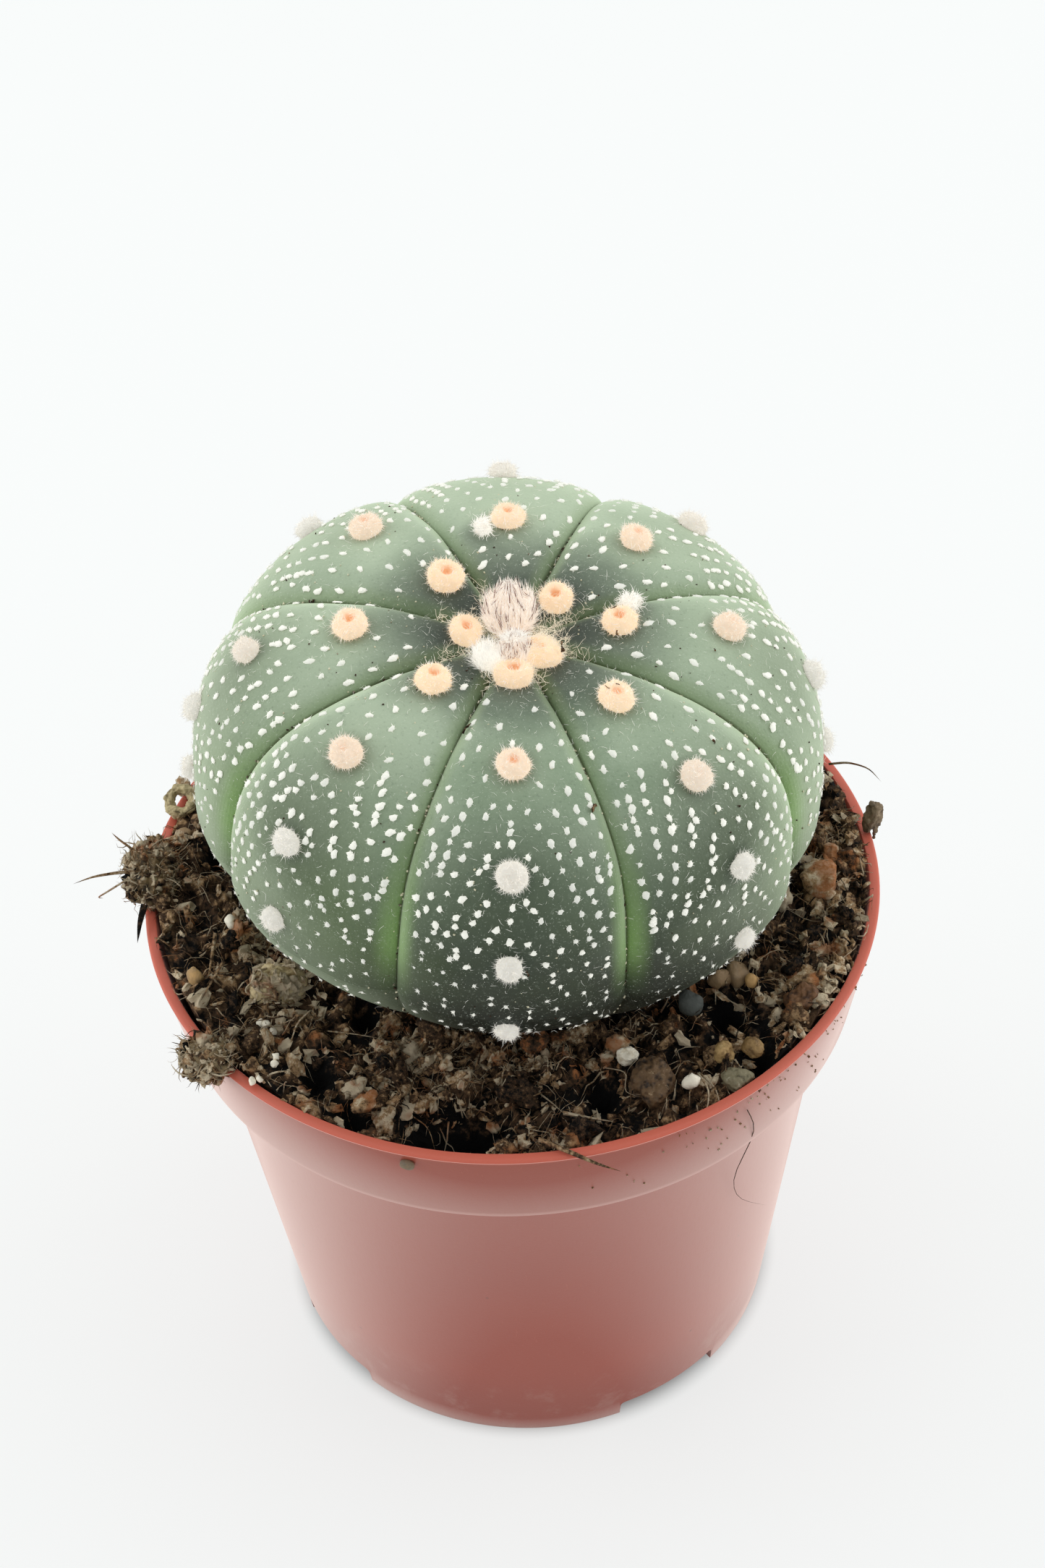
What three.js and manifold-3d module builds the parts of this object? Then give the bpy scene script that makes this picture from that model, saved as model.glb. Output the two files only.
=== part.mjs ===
// A spineless star cactus with eight ribs, in a small round nursery pot.
// Millimetres, +Z up. The origin is the middle of the pot's foot, on the surface that it stands on.
// The front, nearest to the eye, is towards -Y, and +X is to its right.

import * as THREE from "three";
import { mergeVertices } from "three/addons/utils/BufferGeometryUtils.js";
import Module from "manifold-3d";

const wasm = await Module();
wasm.setup();

const degree = Math.PI / 180;

// Air between two neighbouring pieces, and the shortest edge that a piece keeps
const gap = 0.3;
const shortestEdge = 0.02;

// Pot: a thin moulded cup with a deep collar
const rimRadius = 42.5;
const potHeight = 66.3;
const footRadius = 30;
const collarStep = 54.2;
const collarRadius = 40.1;
const bodyTopRadius = 37.2;
const wall = 1.3;
const rimEdge = 0.3;
const innerStepDrop = 0.3;
const innerStepRise = 1.4;
const floorHeight = 3;
const floorThickness = 1.4;
const potSides = 48;
const drainHoleRadius = 3.5;
const drainHoleDistance = 21.6;
const drainHoleSides = 12;
const footNotches = 4;
const notchCentre = -57.5 * degree;
const notchWidth = 27 * degree;
const notchHeight = 2.4;

// Plant: the middle of its body, its widest radius, and how far it reaches above and below that
const plant = new THREE.Vector3(0.25, 2.5, 80.3);
const plantRadius = 35.4;
const crownHeight = 24.1;
const baseDepth = 25;
const crownFlatness = 3.2;
const baseFlatness = 1.46;
const crownHollow = 2.6;
const crownHollowRadius = 9.6;
const leanToFront = 3.9 * degree;
const leanToRight = 3.7 * degree;

// Root crown, hidden in the soil
const neckRadius = 9;
const neckHeight = 3;
const rootRadius = 4.5;
const rootTipRadius = 2.25;
const rootDepth = 40;

// Ribs: rib 0 faces the front and the count goes round to the right. The turns are how far each crest
// and each groove stands from an even spacing.
const ribs = 8;
const ribAngle = (2 * Math.PI) / ribs;
const crestTurn = [-2.2, -1.9, 2, -0.3, 0, -1.9, -0.8, -1.8];
const grooveTurn = [-2.6, -2.6, -2.3, -0.6, 2.3, 4.1, 1.6, -0.3];
const ribSteps = [-0.9, -0.75, -0.45, 0, 0.45, 0.75, 0.9, 1];
const ringStep = 3.3;
const domeDepth = 0.45;
const creaseDepth = 0.9;
const valleyDepth = 1.2;
const creaseWidth = 0.06;
const valleyWidth = 0.2;

// Felt cushions: how far along the crest each one lies from the crown, rib by rib, as on the plant.
// On the ribs at the back they go on at an even step, down to near the soil.
const cushionPlaces = [
  [7, 20.2, 32.1, 42.5, 53],
  [4.2, 15.4, 27.4, 38.4, 49],
  [11.7, 23.7, 36.2, 47],
  [7, 20, 30.9],
  [17.2, 31.8],
  [10.7, 23.3, 34.7],
  [5.4, 17.7, 29.5, 40.1, 49.8, 58.5],
  [12.3, 25, 36.2, 46.9],
];
const cushionStep = 10.5;
const lastCushion = 56;
const lowCushion = 45;
const youngCushionRadius = 2.35;
const oldCushionRadius = 1.95;
const youngCushionDimple = 0.5;
const cushionSides = 8;

// White tufts of loose wool beside the young cushions: rib, place along it, place across it, radius
const woolTufts = [
  { rib: 7, along: 5.2, across: 1.2, radius: 1.8 },
  { rib: 2, along: 13.4, across: 3.4, radius: 1.7 },
  { rib: 4, along: 15.6, across: 2.6, radius: 1.6 },
];

// Flower buds
const largeBud = { place: [1.4, 2.7, 101.2], radius: 3.1, height: 7, lean: -5 * degree };
const smallBud = { place: [1.7, -2.3, 101.2], radius: 1.65, height: 4.9, lean: 8 * degree };

// Soil: its level, the slopes where it rises or sinks towards the rim, the mound round the plant and
// a hollow at the front
const soilTop = 64.6;
const soilSlopes = [
  { towards: [-1, 0], from: 8, to: 36, height: 3 },
  { towards: [1, 0], from: 14, to: 36, height: 2.4 },
  { towards: [0, -1], from: 26, to: 38, height: -1.2 },
];
const soilMound = { radius: 21, width: 7, height: 1.6 };
const soilHollow = { place: [-5.5, -34], halfSize: [6, 3.4], depth: 3.6 };
const soilRoughness = 1;
const soilSides = 44;
const soilRings = [4, 11, 16, 20, 24, 28, 31.5, 34.5, 37, 39.2];
const crumbs = 92;
const crumbSize = [1.1, 2.8];
const crumbRing = [20, 40];
const crumbSeed = 20;
const clearOfPieces = 1.6;

// Repeatable random numbers from 0 to 1
function dice(seed) {
  let state = seed;
  return function next() {
    state = (state + 0x6d2b79f5) | 0;
    let mixed = Math.imul(state ^ (state >>> 15), 1 | state);
    mixed = (mixed + Math.imul(mixed ^ (mixed >>> 7), 61 | mixed)) ^ mixed;
    return ((mixed ^ (mixed >>> 14)) >>> 0) / 4294967296;
  };
}

// A smooth step from 0 at the first value to 1 at the second
function rise(value, from, to) {
  const share = Math.min(1, Math.max(0, (value - from) / (to - from)));
  return share * share * (3 - 2 * share);
}

// A closed skin over rings of points that go round anticlockwise, from a top point to a bottom point
function skin(top, rings, bottom) {
  const points = [top, ...rings.flat(), bottom];
  const sides = rings[0].length;
  const last = points.length - 1;
  const lowest = rings.length - 1;
  const at = (ring, side) => 1 + ring * sides + (side % sides);
  const faces = [];
  for (let side = 0; side < sides; side += 1) {
    faces.push(0, at(0, side), at(0, side + 1));
    for (let ring = 0; ring < lowest; ring += 1) {
      faces.push(at(ring, side), at(ring + 1, side), at(ring + 1, side + 1));
      faces.push(at(ring, side), at(ring + 1, side + 1), at(ring, side + 1));
    }
    faces.push(at(lowest, side), last, at(lowest, side + 1));
  }
  return new THREE.BufferGeometry().setFromPoints(points).setIndex(faces);
}

// A turned shape whose profile is a list of [radius, height], made round the Z axis
function turned(profile, sides) {
  const points = profile.map(([radius, height]) => new THREE.Vector2(radius, height));
  return new THREE.LatheGeometry(points, sides).rotateX(Math.PI / 2);
}

// A geometry as a solid that can be joined and cut
function solid(geometry) {
  const bare = geometry.clone();
  bare.deleteAttribute("normal");
  bare.deleteAttribute("uv");
  const merged = mergeVertices(bare, 1e-3);
  const corners = merged.index.array;
  const kept = [];
  for (let i = 0; i < corners.length; i += 3) {
    const [a, b, c] = [corners[i], corners[i + 1], corners[i + 2]];
    if (a !== b && b !== c && c !== a) {
      kept.push(a, b, c);
    }
  }
  const vertProperties = new Float32Array(merged.attributes.position.array);
  const triVerts = new Uint32Array(kept);
  return new wasm.Manifold(new wasm.Mesh({ numProp: 3, vertProperties, triVerts }));
}

// The largest single body of a solid, with its shortest edges closed up, as a geometry again
function geometryOf(made) {
  const bodies = made.simplify(shortestEdge).decompose();
  const largest = bodies.reduce((best, body) => (body.volume() > best.volume() ? body : best));
  const { vertProperties, triVerts } = largest.getMesh();
  const geometry = new THREE.BufferGeometry();
  geometry.setAttribute("position", new THREE.BufferAttribute(vertProperties, 3));
  geometry.setIndex(new THREE.BufferAttribute(triVerts, 1));
  geometry.computeVertexNormals();
  return geometry;
}

// Pot

const floorTop = floorHeight + floorThickness;
const floorRadius = footRadius + ((bodyTopRadius - footRadius) * floorTop) / collarStep - wall;

// The inner face of the wall from the floor up to the rim, with the step behind the collar
function potInside(clearance) {
  return [
    [floorRadius - clearance, floorTop + clearance],
    [bodyTopRadius - wall - clearance, collarStep - innerStepDrop],
    [collarRadius - wall - clearance, collarStep + innerStepRise],
    [rimRadius - wall - clearance, potHeight],
  ];
}

function potGeometry() {
  const innerFoot = footRadius - wall;
  const cup = solid(
    turned(
      [
        [footRadius, 0],
        [bodyTopRadius, collarStep],
        [collarRadius, collarStep],
        [rimRadius - rimEdge, potHeight - 2 * rimEdge],
        [rimRadius, potHeight - rimEdge],
        [rimRadius - rimEdge, potHeight],
        ...potInside(0).reverse(),
        [drainHoleRadius, floorTop],
        [drainHoleRadius, floorHeight],
        [innerFoot, floorHeight],
        [innerFoot, 0],
        [footRadius, 0],
      ],
      potSides,
    ),
  );
  let cut = cup;
  for (let notch = 0; notch < footNotches; notch += 1) {
    const turn = notchCentre + (notch * 2 * Math.PI) / footNotches;
    cut = cut.subtract(notchSolid(turn)).subtract(drainSolid(turn));
  }
  return geometryOf(cut);
}

// A wedge that cuts one arch out of the foot ring
function notchSolid(turn) {
  const reach = footRadius + 5;
  const inside = footRadius - 6;
  const shape = new THREE.Shape();
  shape.moveTo(inside * Math.cos(notchWidth / 2), -inside * Math.sin(notchWidth / 2));
  shape.lineTo(reach * Math.cos(notchWidth / 2), -reach * Math.sin(notchWidth / 2));
  shape.lineTo(reach * Math.cos(notchWidth / 2), reach * Math.sin(notchWidth / 2));
  shape.lineTo(inside * Math.cos(notchWidth / 2), inside * Math.sin(notchWidth / 2));
  const wedge = new THREE.ExtrudeGeometry(shape, { depth: notchHeight + 1, bevelEnabled: false });
  return solid(wedge.translate(0, 0, -1).rotateZ(turn));
}

// A round drain hole through the floor behind one notch
function drainSolid(turn) {
  const height = 3 * floorThickness;
  const hole = new THREE.CylinderGeometry(drainHoleRadius, drainHoleRadius, height, drainHoleSides);
  hole.rotateX(Math.PI / 2);
  hole.translate(drainHoleDistance, 0, floorTop - floorThickness / 2);
  return solid(hole.rotateZ(turn));
}

// Plant

// The outline of a rib's crest, from the crown down to the root tip, with its length along the way
function crestLine() {
  const line = [];
  const steps = 240;
  for (let step = 0; step <= steps; step += 1) {
    const angle = (step / steps) * Math.PI;
    const above = angle <= Math.PI / 2;
    const power = 2 / (above ? crownFlatness : baseFlatness);
    const radius = plantRadius * Math.abs(Math.sin(angle)) ** power;
    const share = Math.abs(Math.cos(angle)) ** power;
    const hollow = above ? crownHollow * Math.exp(-((radius / crownHollowRadius) ** 2)) : 0;
    const height = above ? crownHeight * share - hollow : -baseDepth * share;
    if (!above && radius < neckRadius) {
      break;
    }
    line.push({ radius, height });
  }
  const neckTop = line[line.length - 1].height;
  line.push({ radius: (neckRadius + rootRadius) / 2, height: neckTop - neckHeight });
  line.push({ radius: rootRadius, height: (neckTop - rootDepth) / 2 });
  line.push({ radius: rootTipRadius, height: -rootDepth });
  line[0].along = 0;
  for (let i = 1; i < line.length; i += 1) {
    const last = line[i - 1];
    const length = Math.hypot(line[i].radius - last.radius, line[i].height - last.height);
    line[i].along = last.along + length;
  }
  return line;
}

const crest = crestLine();
const rootTip = crest[crest.length - 1].along;

// A point of the crest at a distance from the crown, and the direction that faces out there
function crestAt(along) {
  let i = 1;
  while (i < crest.length - 1 && crest[i].along < along) {
    i += 1;
  }
  const [from, to] = [crest[i - 1], crest[i]];
  const share = (along - from.along) / (to.along - from.along);
  const length = to.along - from.along;
  return {
    radius: from.radius + share * (to.radius - from.radius),
    height: from.height + share * (to.height - from.height),
    outward: -(to.height - from.height) / length,
    upward: (to.radius - from.radius) / length,
  };
}

function crestAngle(rib) {
  return -Math.PI / 2 + rib * ribAngle + crestTurn[rib % ribs] * degree;
}

function grooveAngle(rib) {
  return -Math.PI / 2 + (rib + 0.5) * ribAngle + grooveTurn[(rib + ribs) % ribs] * degree;
}

// The angle at a share across a rib, from -1 at the groove before it to 1 at the groove after it
function angleAcross(rib, across) {
  const middle = crestAngle(rib);
  const side = across < 0 ? grooveAngle(rib - 1) : grooveAngle(rib);
  return middle + Math.abs(across) * (side - middle);
}

// How far the skin lies in from the crest: a low dome, a sharp crease above, an open valley below
function depthAt(along, across) {
  const edge = 1 - Math.abs(across);
  const near = rise(along, 1.5, 12);
  const crease = creaseDepth * near * (1 - rise(along, 34, 48)) * Math.exp(-edge / creaseWidth);
  const open = rise(along, 26, 44) * (1 - rise(along, 48, 62));
  const valley = valleyDepth * open * Math.exp(-((edge / valleyWidth) ** 2));
  const dome = domeDepth * near * (1 - rise(along, 52, 68)) * across ** 2;
  return dome + crease + valley;
}

// From the plant's own upright frame to where it stands and leans
const standing = new THREE.Matrix4()
  .makeTranslation(plant.x, plant.y, plant.z)
  .multiply(new THREE.Matrix4().makeRotationX(leanToFront))
  .multiply(new THREE.Matrix4().makeRotationY(leanToRight));

function skinPoint(rib, along, across) {
  const place = crestAt(along);
  const depth = depthAt(along, across);
  const angle = angleAcross(rib, across);
  const radius = Math.max(0.3, place.radius - depth * place.outward);
  const height = place.height - depth * place.upward;
  return new THREE.Vector3(radius * Math.cos(angle), radius * Math.sin(angle), height);
}

function bodyGeometry() {
  const rings = [];
  for (let along = ringStep; along < rootTip - ringStep / 2; along += ringStep) {
    const ring = [];
    for (let rib = 0; rib < ribs; rib += 1) {
      for (const across of ribSteps) {
        ring.push(skinPoint(rib, along, across));
      }
    }
    rings.push(ring);
  }
  const top = new THREE.Vector3(0, 0, crest[0].height);
  const bottom = new THREE.Vector3(0, 0, -rootDepth - 1);
  return skin(top, rings, bottom).applyMatrix4(standing);
}

// A felt cushion: a low dome with a dimple, its root sunk into what it grows from
function cushionGeometry(radius, dimple) {
  const height = 1.05 * radius;
  return turned(
    [
      [0, -0.6 * radius],
      [0.75 * radius, -0.5 * radius],
      [radius, 0.35 * height],
      [0.62 * radius, 0.9 * height],
      [0, height - dimple],
    ],
    cushionSides,
  );
}

// Turns a piece so that its Z axis faces out of the skin at a place on a rib, and puts it there
function onSkin(geometry, rib, along, across) {
  const place = crestAt(along);
  const angle = angleAcross(rib, across);
  const outward = new THREE.Vector3(
    place.outward * Math.cos(angle),
    place.outward * Math.sin(angle),
    place.upward,
  );
  const turn = new THREE.Quaternion().setFromUnitVectors(new THREE.Vector3(0, 0, 1), outward);
  const at = skinPoint(rib, along, across);
  return geometry.applyQuaternion(turn).translate(at.x, at.y, at.z).applyMatrix4(standing);
}

// How far along a rib its cushions lie, from the crown down to near the soil
function cushionsOf(rib) {
  const places = [...cushionPlaces[rib]];
  while (places[places.length - 1] + cushionStep < lastCushion) {
    places.push(places[places.length - 1] + cushionStep);
  }
  return places;
}

function cushionSolids() {
  const made = [];
  for (let rib = 0; rib < ribs; rib += 1) {
    for (const along of cushionsOf(rib)) {
      const age = rise(along, 6, 30);
      const radius = youngCushionRadius + age * (oldCushionRadius - youngCushionRadius);
      const dimple = youngCushionDimple * (1 - age);
      made.push(solid(onSkin(cushionGeometry(radius, dimple), rib, along, 0)));
    }
  }
  for (const tuft of woolTufts) {
    const halfRib = (crestAt(tuft.along).radius * ribAngle) / 2;
    const across = tuft.across / halfRib;
    const ball = cushionGeometry(tuft.radius, 0);
    made.push(solid(onSkin(ball, tuft.rib, tuft.along, across)));
  }
  return made;
}

// A bud: an egg with eight low ridges and a pointed top
function budGeometry(bud, clearance) {
  const sides = 16;
  const steps = 7;
  const rings = [];
  for (let step = 1; step < steps; step += 1) {
    const angle = (step / steps) * Math.PI;
    const ring = [];
    for (let side = 0; side < sides; side += 1) {
      const turn = (side / sides) * 2 * Math.PI;
      const ridge = side % 2 === 0 ? 1 : 0.93;
      const egg = Math.sin(angle) * (1 + 0.12 * Math.cos(angle - 2));
      const radius = bud.radius * egg * ridge + clearance;
      const height = bud.height * 0.5 * (1 + Math.cos(angle));
      const lift = clearance * Math.cos(angle);
      ring.push(new THREE.Vector3(radius * Math.cos(turn), radius * Math.sin(turn), height + lift));
    }
    rings.push(ring);
  }
  const top = new THREE.Vector3(0, 0, bud.height + clearance);
  const bottom = new THREE.Vector3(0, 0, -clearance);
  return skin(top, rings, bottom).rotateX(bud.lean).translate(...bud.place);
}

function stemGeometry() {
  let stem = solid(bodyGeometry());
  for (const cushion of cushionSolids()) {
    stem = stem.add(cushion);
  }
  for (const bud of [largeBud, smallBud]) {
    stem = stem.subtract(solid(budGeometry(bud, 1.2 * gap)));
  }
  return geometryOf(stem);
}

// Soil and what lies on it

// The height of the soil at a place: its slopes, the mound round the plant, the hollow and its lumps
function soilHeight(x, y) {
  let height = soilTop;
  for (const slope of soilSlopes) {
    height += slope.height * rise(x * slope.towards[0] + y * slope.towards[1], slope.from, slope.to);
  }
  const fromMound = (Math.hypot(x, y - plant.y) - soilMound.radius) / soilMound.width;
  height += soilMound.height * Math.exp(-(fromMound ** 2));
  const fromHollow = Math.hypot(
    (x - soilHollow.place[0]) / soilHollow.halfSize[0],
    (y - soilHollow.place[1]) / soilHollow.halfSize[1],
  );
  height -= soilHollow.depth * Math.exp(-(fromHollow ** 2));
  const waves = Math.sin(0.62 * x + 1.7 * Math.sin(0.31 * y)) * Math.cos(0.55 * y + 0.4 * x + 1);
  const ripple = Math.sin(1.13 * x - 0.9 * y + 2) * Math.sin(0.8 * x + 1.21 * y);
  return height + soilRoughness * (0.7 * waves + 0.45 * ripple);
}

function ringOf(radius, height) {
  const ring = [];
  for (let side = 0; side < soilSides; side += 1) {
    const turn = (side / soilSides) * 2 * Math.PI;
    const [x, y] = [radius * Math.cos(turn), radius * Math.sin(turn)];
    ring.push(new THREE.Vector3(x, y, height ?? soilHeight(x, y)));
  }
  return ring;
}

function soilBedSolid() {
  const rings = soilRings.map((radius) => ringOf(radius));
  const [floor, belowStep, aboveStep, rim] = potInside(1.5 * gap);
  rings.push(ringOf(rim[0] - 0.6));
  rings.push(ringOf(aboveStep[0], aboveStep[1] + 1));
  rings.push(ringOf(belowStep[0], belowStep[1] + 0.6));
  rings.push(ringOf(floor[0], floor[1]));
  const top = new THREE.Vector3(0, 0, soilHeight(0, 0));
  const bottom = new THREE.Vector3(0, 0, floor[1]);
  return solid(skin(top, rings, bottom));
}

// A stone or clod: a rough ball with uneven corners, stretched to its three half sizes
function clodGeometry(halfSizes, seed, roughness, sides = 8) {
  const roll = dice(seed);
  const steps = Math.round(sides * 0.6);
  const uneven = () => 1 + roughness * (roll() - 0.5);
  const rings = [];
  for (let step = 1; step < steps; step += 1) {
    const tilt = (step / steps) * Math.PI;
    const ring = [];
    for (let side = 0; side < sides; side += 1) {
      const turn = ((side + 0.5 * (step % 2)) / sides) * 2 * Math.PI;
      const reach = uneven();
      const point = new THREE.Vector3(Math.cos(turn), Math.sin(turn), Math.cos(tilt));
      point.x *= Math.sin(tilt) * reach * halfSizes[0];
      point.y *= Math.sin(tilt) * reach * halfSizes[1];
      point.z *= reach * halfSizes[2];
      ring.push(point);
    }
    rings.push(ring);
  }
  const top = new THREE.Vector3(0, 0, halfSizes[2] * uneven());
  const bottom = new THREE.Vector3(0, 0, -halfSizes[2] * uneven());
  return skin(top, rings, bottom);
}

// A curled scrap of bark: a thick uneven ring
function curlGeometry(radius, thickness, seed) {
  const roll = dice(seed);
  const curl = new THREE.TorusGeometry(radius, thickness, 6, 10);
  const bare = curl.clone();
  bare.deleteAttribute("normal");
  bare.deleteAttribute("uv");
  const merged = mergeVertices(bare, 1e-3);
  const points = merged.attributes.position;
  for (let i = 0; i < points.count; i += 1) {
    const swell = 1 + 0.16 * (roll() - 0.5);
    points.setXYZ(i, points.getX(i) * swell, points.getY(i) * swell, points.getZ(i) * swell * 1.3);
  }
  return merged;
}

// A broken stub of twig with splintered ends
function stubGeometry(radius, length, seed) {
  const roll = dice(seed);
  const rings = [];
  for (let step = 0; step < 4; step += 1) {
    const ring = [];
    for (let side = 0; side < 7; side += 1) {
      const turn = (side / 7) * 2 * Math.PI;
      const reach = radius * (0.85 + 0.3 * roll());
      const splinter = step === 0 || step === 3 ? 0.5 * (roll() - 0.5) : 0;
      const height = length * (0.5 - step / 3) + splinter;
      ring.push(new THREE.Vector3(reach * Math.cos(turn), reach * Math.sin(turn), height));
    }
    rings.push(ring);
  }
  const top = new THREE.Vector3(0, 0, length / 2);
  const bottom = new THREE.Vector3(0, 0, -length / 2);
  return skin(top, rings, bottom);
}

// The loose pieces: where the middle of each lies, how it is turned, and its shape
const loosePieces = [
  {
    name: "peat_clump_left",
    shape: () => clodGeometry([3.3, 4.9, 2.2], 3, 0.5, 10),
    place: [-41.4, 2.4, 68.2],
    turn: [0, 6, 0],
    colour: 0x6b5b41,
  },
  {
    name: "peat_clump_front",
    shape: () => clodGeometry([3.3, 3.2, 2.1], 8, 0.5, 9),
    place: [-34, -26, 67.2],
    turn: [8, 0, 30],
    colour: 0x7a6647,
  },
  {
    name: "bark_ring",
    shape: () => curlGeometry(1.55, 0.72, 5),
    place: [-38.7, 13.8, 68.1],
    turn: [28, -14, 0],
    colour: 0x8a7450,
  },
  {
    name: "bark_chip_pale",
    shape: () => clodGeometry([4.1, 3.1, 1.7], 11, 0.45, 9),
    place: [-26.6, -15.6, 66.9],
    turn: [14, 12, 34],
    colour: 0x9a8a62,
  },
  {
    name: "bark_chip_brown",
    shape: () => clodGeometry([2.6, 1.8, 1.3], 15, 0.45, 8),
    place: [31.6, -21.8, 67.2],
    turn: [0, -12, 20],
    colour: 0x6d4a30,
  },
  {
    name: "stone_dark",
    shape: () => clodGeometry([2.7, 3.2, 2.4], 21, 0.25, 9),
    place: [14.2, -31, 64.7],
    turn: [20, 0, 12],
    colour: 0x5a5048,
  },
  {
    name: "stone_tan_left",
    shape: () => clodGeometry([1.4, 1.4, 1.3], 26, 0.22, 8),
    place: [22.2, -28.3, 66.1],
    turn: [0, 0, 10],
    colour: 0x8d7658,
  },
  {
    name: "stone_tan_right",
    shape: () => clodGeometry([1.3, 1.6, 1.2], 29, 0.22, 8),
    place: [25.5, -28, 66.3],
    turn: [0, 10, 40],
    colour: 0x7f6748,
  },
  {
    name: "stone_mottled",
    shape: () => clodGeometry([2.1, 1.5, 1.2], 33, 0.25, 8),
    place: [23.5, -31.7, 65.3],
    turn: [8, 0, -15],
    colour: 0x6f6a55,
  },
  {
    name: "perlite_grain",
    shape: () => clodGeometry([1.3, 1.2, 1.1], 38, 0.35, 8),
    place: [11.6, -27.9, 66],
    turn: [0, 0, 0],
    colour: 0xe4e0d4,
  },
  {
    name: "twig_stub",
    shape: () => stubGeometry(1, 6.2, 41),
    place: [42.1, 4.7, 67.2],
    turn: [-4, 13, 0],
    colour: 0x5b4a38,
  },
];

function placed(geometry, piece) {
  const [x, y, z] = piece.turn.map((angle) => angle * degree);
  return geometry.rotateX(x).rotateY(y).rotateZ(z).translate(...piece.place);
}

// The space that the pot's wall and rim take, with air round it
function potSpace() {
  const [, belowStep, aboveStep, rim] = potInside(gap);
  const top = potHeight + gap;
  return solid(
    turned(
      [
        [belowStep[0], 0],
        [rimRadius + gap, 0],
        [rimRadius + gap, top],
        [rim[0], top],
        aboveStep,
        belowStep,
        [belowStep[0], 0],
      ],
      potSides,
    ),
  );
}

// The plain hole that the plant stands in: its outline with air round it
function plantSpace() {
  const air = 1.4 * gap;
  const profile = [];
  for (let along = 30; along < rootTip; along += 4) {
    const place = crestAt(along);
    profile.push([place.radius + air * place.outward, place.height + air * place.upward]);
  }
  profile.unshift([0, profile[0][1]]);
  profile.push([0, -rootDepth - 1 - air]);
  return solid(turned(profile.reverse(), 40).applyMatrix4(standing));
}

// The space that a loose piece takes, with air round it, about its own middle
function pieceSpace(piece) {
  const shape = piece.shape();
  shape.computeBoundingBox();
  const size = shape.boundingBox.getSize(new THREE.Vector3());
  const air = 2.6 * gap;
  const grown = shape.scale(1 + air / size.x, 1 + air / size.y, 1 + air / size.z);
  return solid(placed(grown, piece));
}

// The cushions low on the plant stand proud of its outline, so the soil and the pieces keep off them
function lowCushionSpace() {
  const air = 1 + (1.5 * gap) / oldCushionRadius;
  const made = [];
  for (let rib = 0; rib < ribs; rib += 1) {
    for (const along of cushionsOf(rib).filter((place) => place > lowCushion)) {
      const ball = cushionGeometry(oldCushionRadius, 0).scale(air, air, air);
      made.push(solid(onSkin(ball, rib, along, 0)));
    }
  }
  return made;
}

const wallSpace = potSpace();
const stemSpace = lowCushionSpace().reduce((all, cushion) => all.add(cushion), plantSpace());

// Whether something of this size would lie on one of the loose pieces
function onLoosePiece(x, y, size) {
  const reach = size + clearOfPieces;
  return loosePieces.some(({ place }) => Math.hypot(x - place[0], y - place[1]) < reach);
}

function soilGeometry() {
  const roll = dice(crumbSeed);
  let soil = soilBedSolid();
  for (let crumb = 0; crumb < crumbs; crumb += 1) {
    const turn = roll() * 2 * Math.PI;
    const distance = crumbRing[0] + (crumbRing[1] - crumbRing[0]) * Math.sqrt(roll());
    const size = crumbSize[0] + (crumbSize[1] - crumbSize[0]) * roll() ** 2;
    const halfSizes = [size * (0.8 + 0.6 * roll()), size * (0.7 + 0.4 * roll()), size * 0.75];
    const [x, y] = [distance * Math.cos(turn), distance * Math.sin(turn)];
    const lump = clodGeometry(halfSizes, 100 + crumb, 0.4, 5);
    lump.rotateZ(roll() * Math.PI).translate(x, y, soilHeight(x, y) + 0.25 * size);
    if (!onLoosePiece(x, y, size)) {
      soil = soil.add(solid(lump));
    }
  }
  for (const piece of loosePieces) {
    soil = soil.subtract(pieceSpace(piece));
  }
  return geometryOf(soil.subtract(wallSpace).subtract(stemSpace));
}

function looseGeometry(piece, laid) {
  let made = solid(placed(piece.shape(), piece));
  made = made.subtract(wallSpace).subtract(stemSpace);
  for (const other of laid) {
    made = made.subtract(pieceSpace(other));
  }
  return geometryOf(made);
}

// Assembly

function sheen(colour, roughness) {
  return new THREE.MeshStandardMaterial({ color: colour, roughness, metalness: 0 });
}

const part = new THREE.Group();

function addPiece(name, geometry, material) {
  const mesh = new THREE.Mesh(geometry, material);
  mesh.name = name;
  part.add(mesh);
}

addPiece("pot", potGeometry(), sheen(0xb26a60, 0.45));
addPiece("soil", soilGeometry(), sheen(0x3b2c20, 0.95));
addPiece("cactus_stem", stemGeometry(), sheen(0x7d9178, 0.6));
addPiece("flower_bud_large", geometryOf(solid(budGeometry(largeBud, 0))), sheen(0xb9a59c, 0.9));
addPiece("flower_bud_small", geometryOf(solid(budGeometry(smallBud, 0))), sheen(0xa8948c, 0.9));
loosePieces.forEach((piece, index) => {
  const geometry = looseGeometry(piece, loosePieces.slice(0, index));
  addPiece(piece.name, geometry, sheen(piece.colour, 0.9));
});

export default part;
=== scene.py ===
# %% [markdown]
# # A potted star cactus
#
# The real thing is a spineless cactus about 71 mm wide, in a plastic nursery pot 85 mm across the rim.
# The plain model gives every part its size and place. Here each part gets a finer mesh of the same form, and
# then what only shows from close by: felt, wool, white flecks, hairs, peat fibres and dust.
# All that could be painted on, but flecks and fibres stand proud on the real plant, so they are modelled.

# %% Load the plain model
import math
from contextlib import contextmanager

import bmesh
import bpy
import numpy as np
from mathutils import Matrix, Vector, noise


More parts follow.
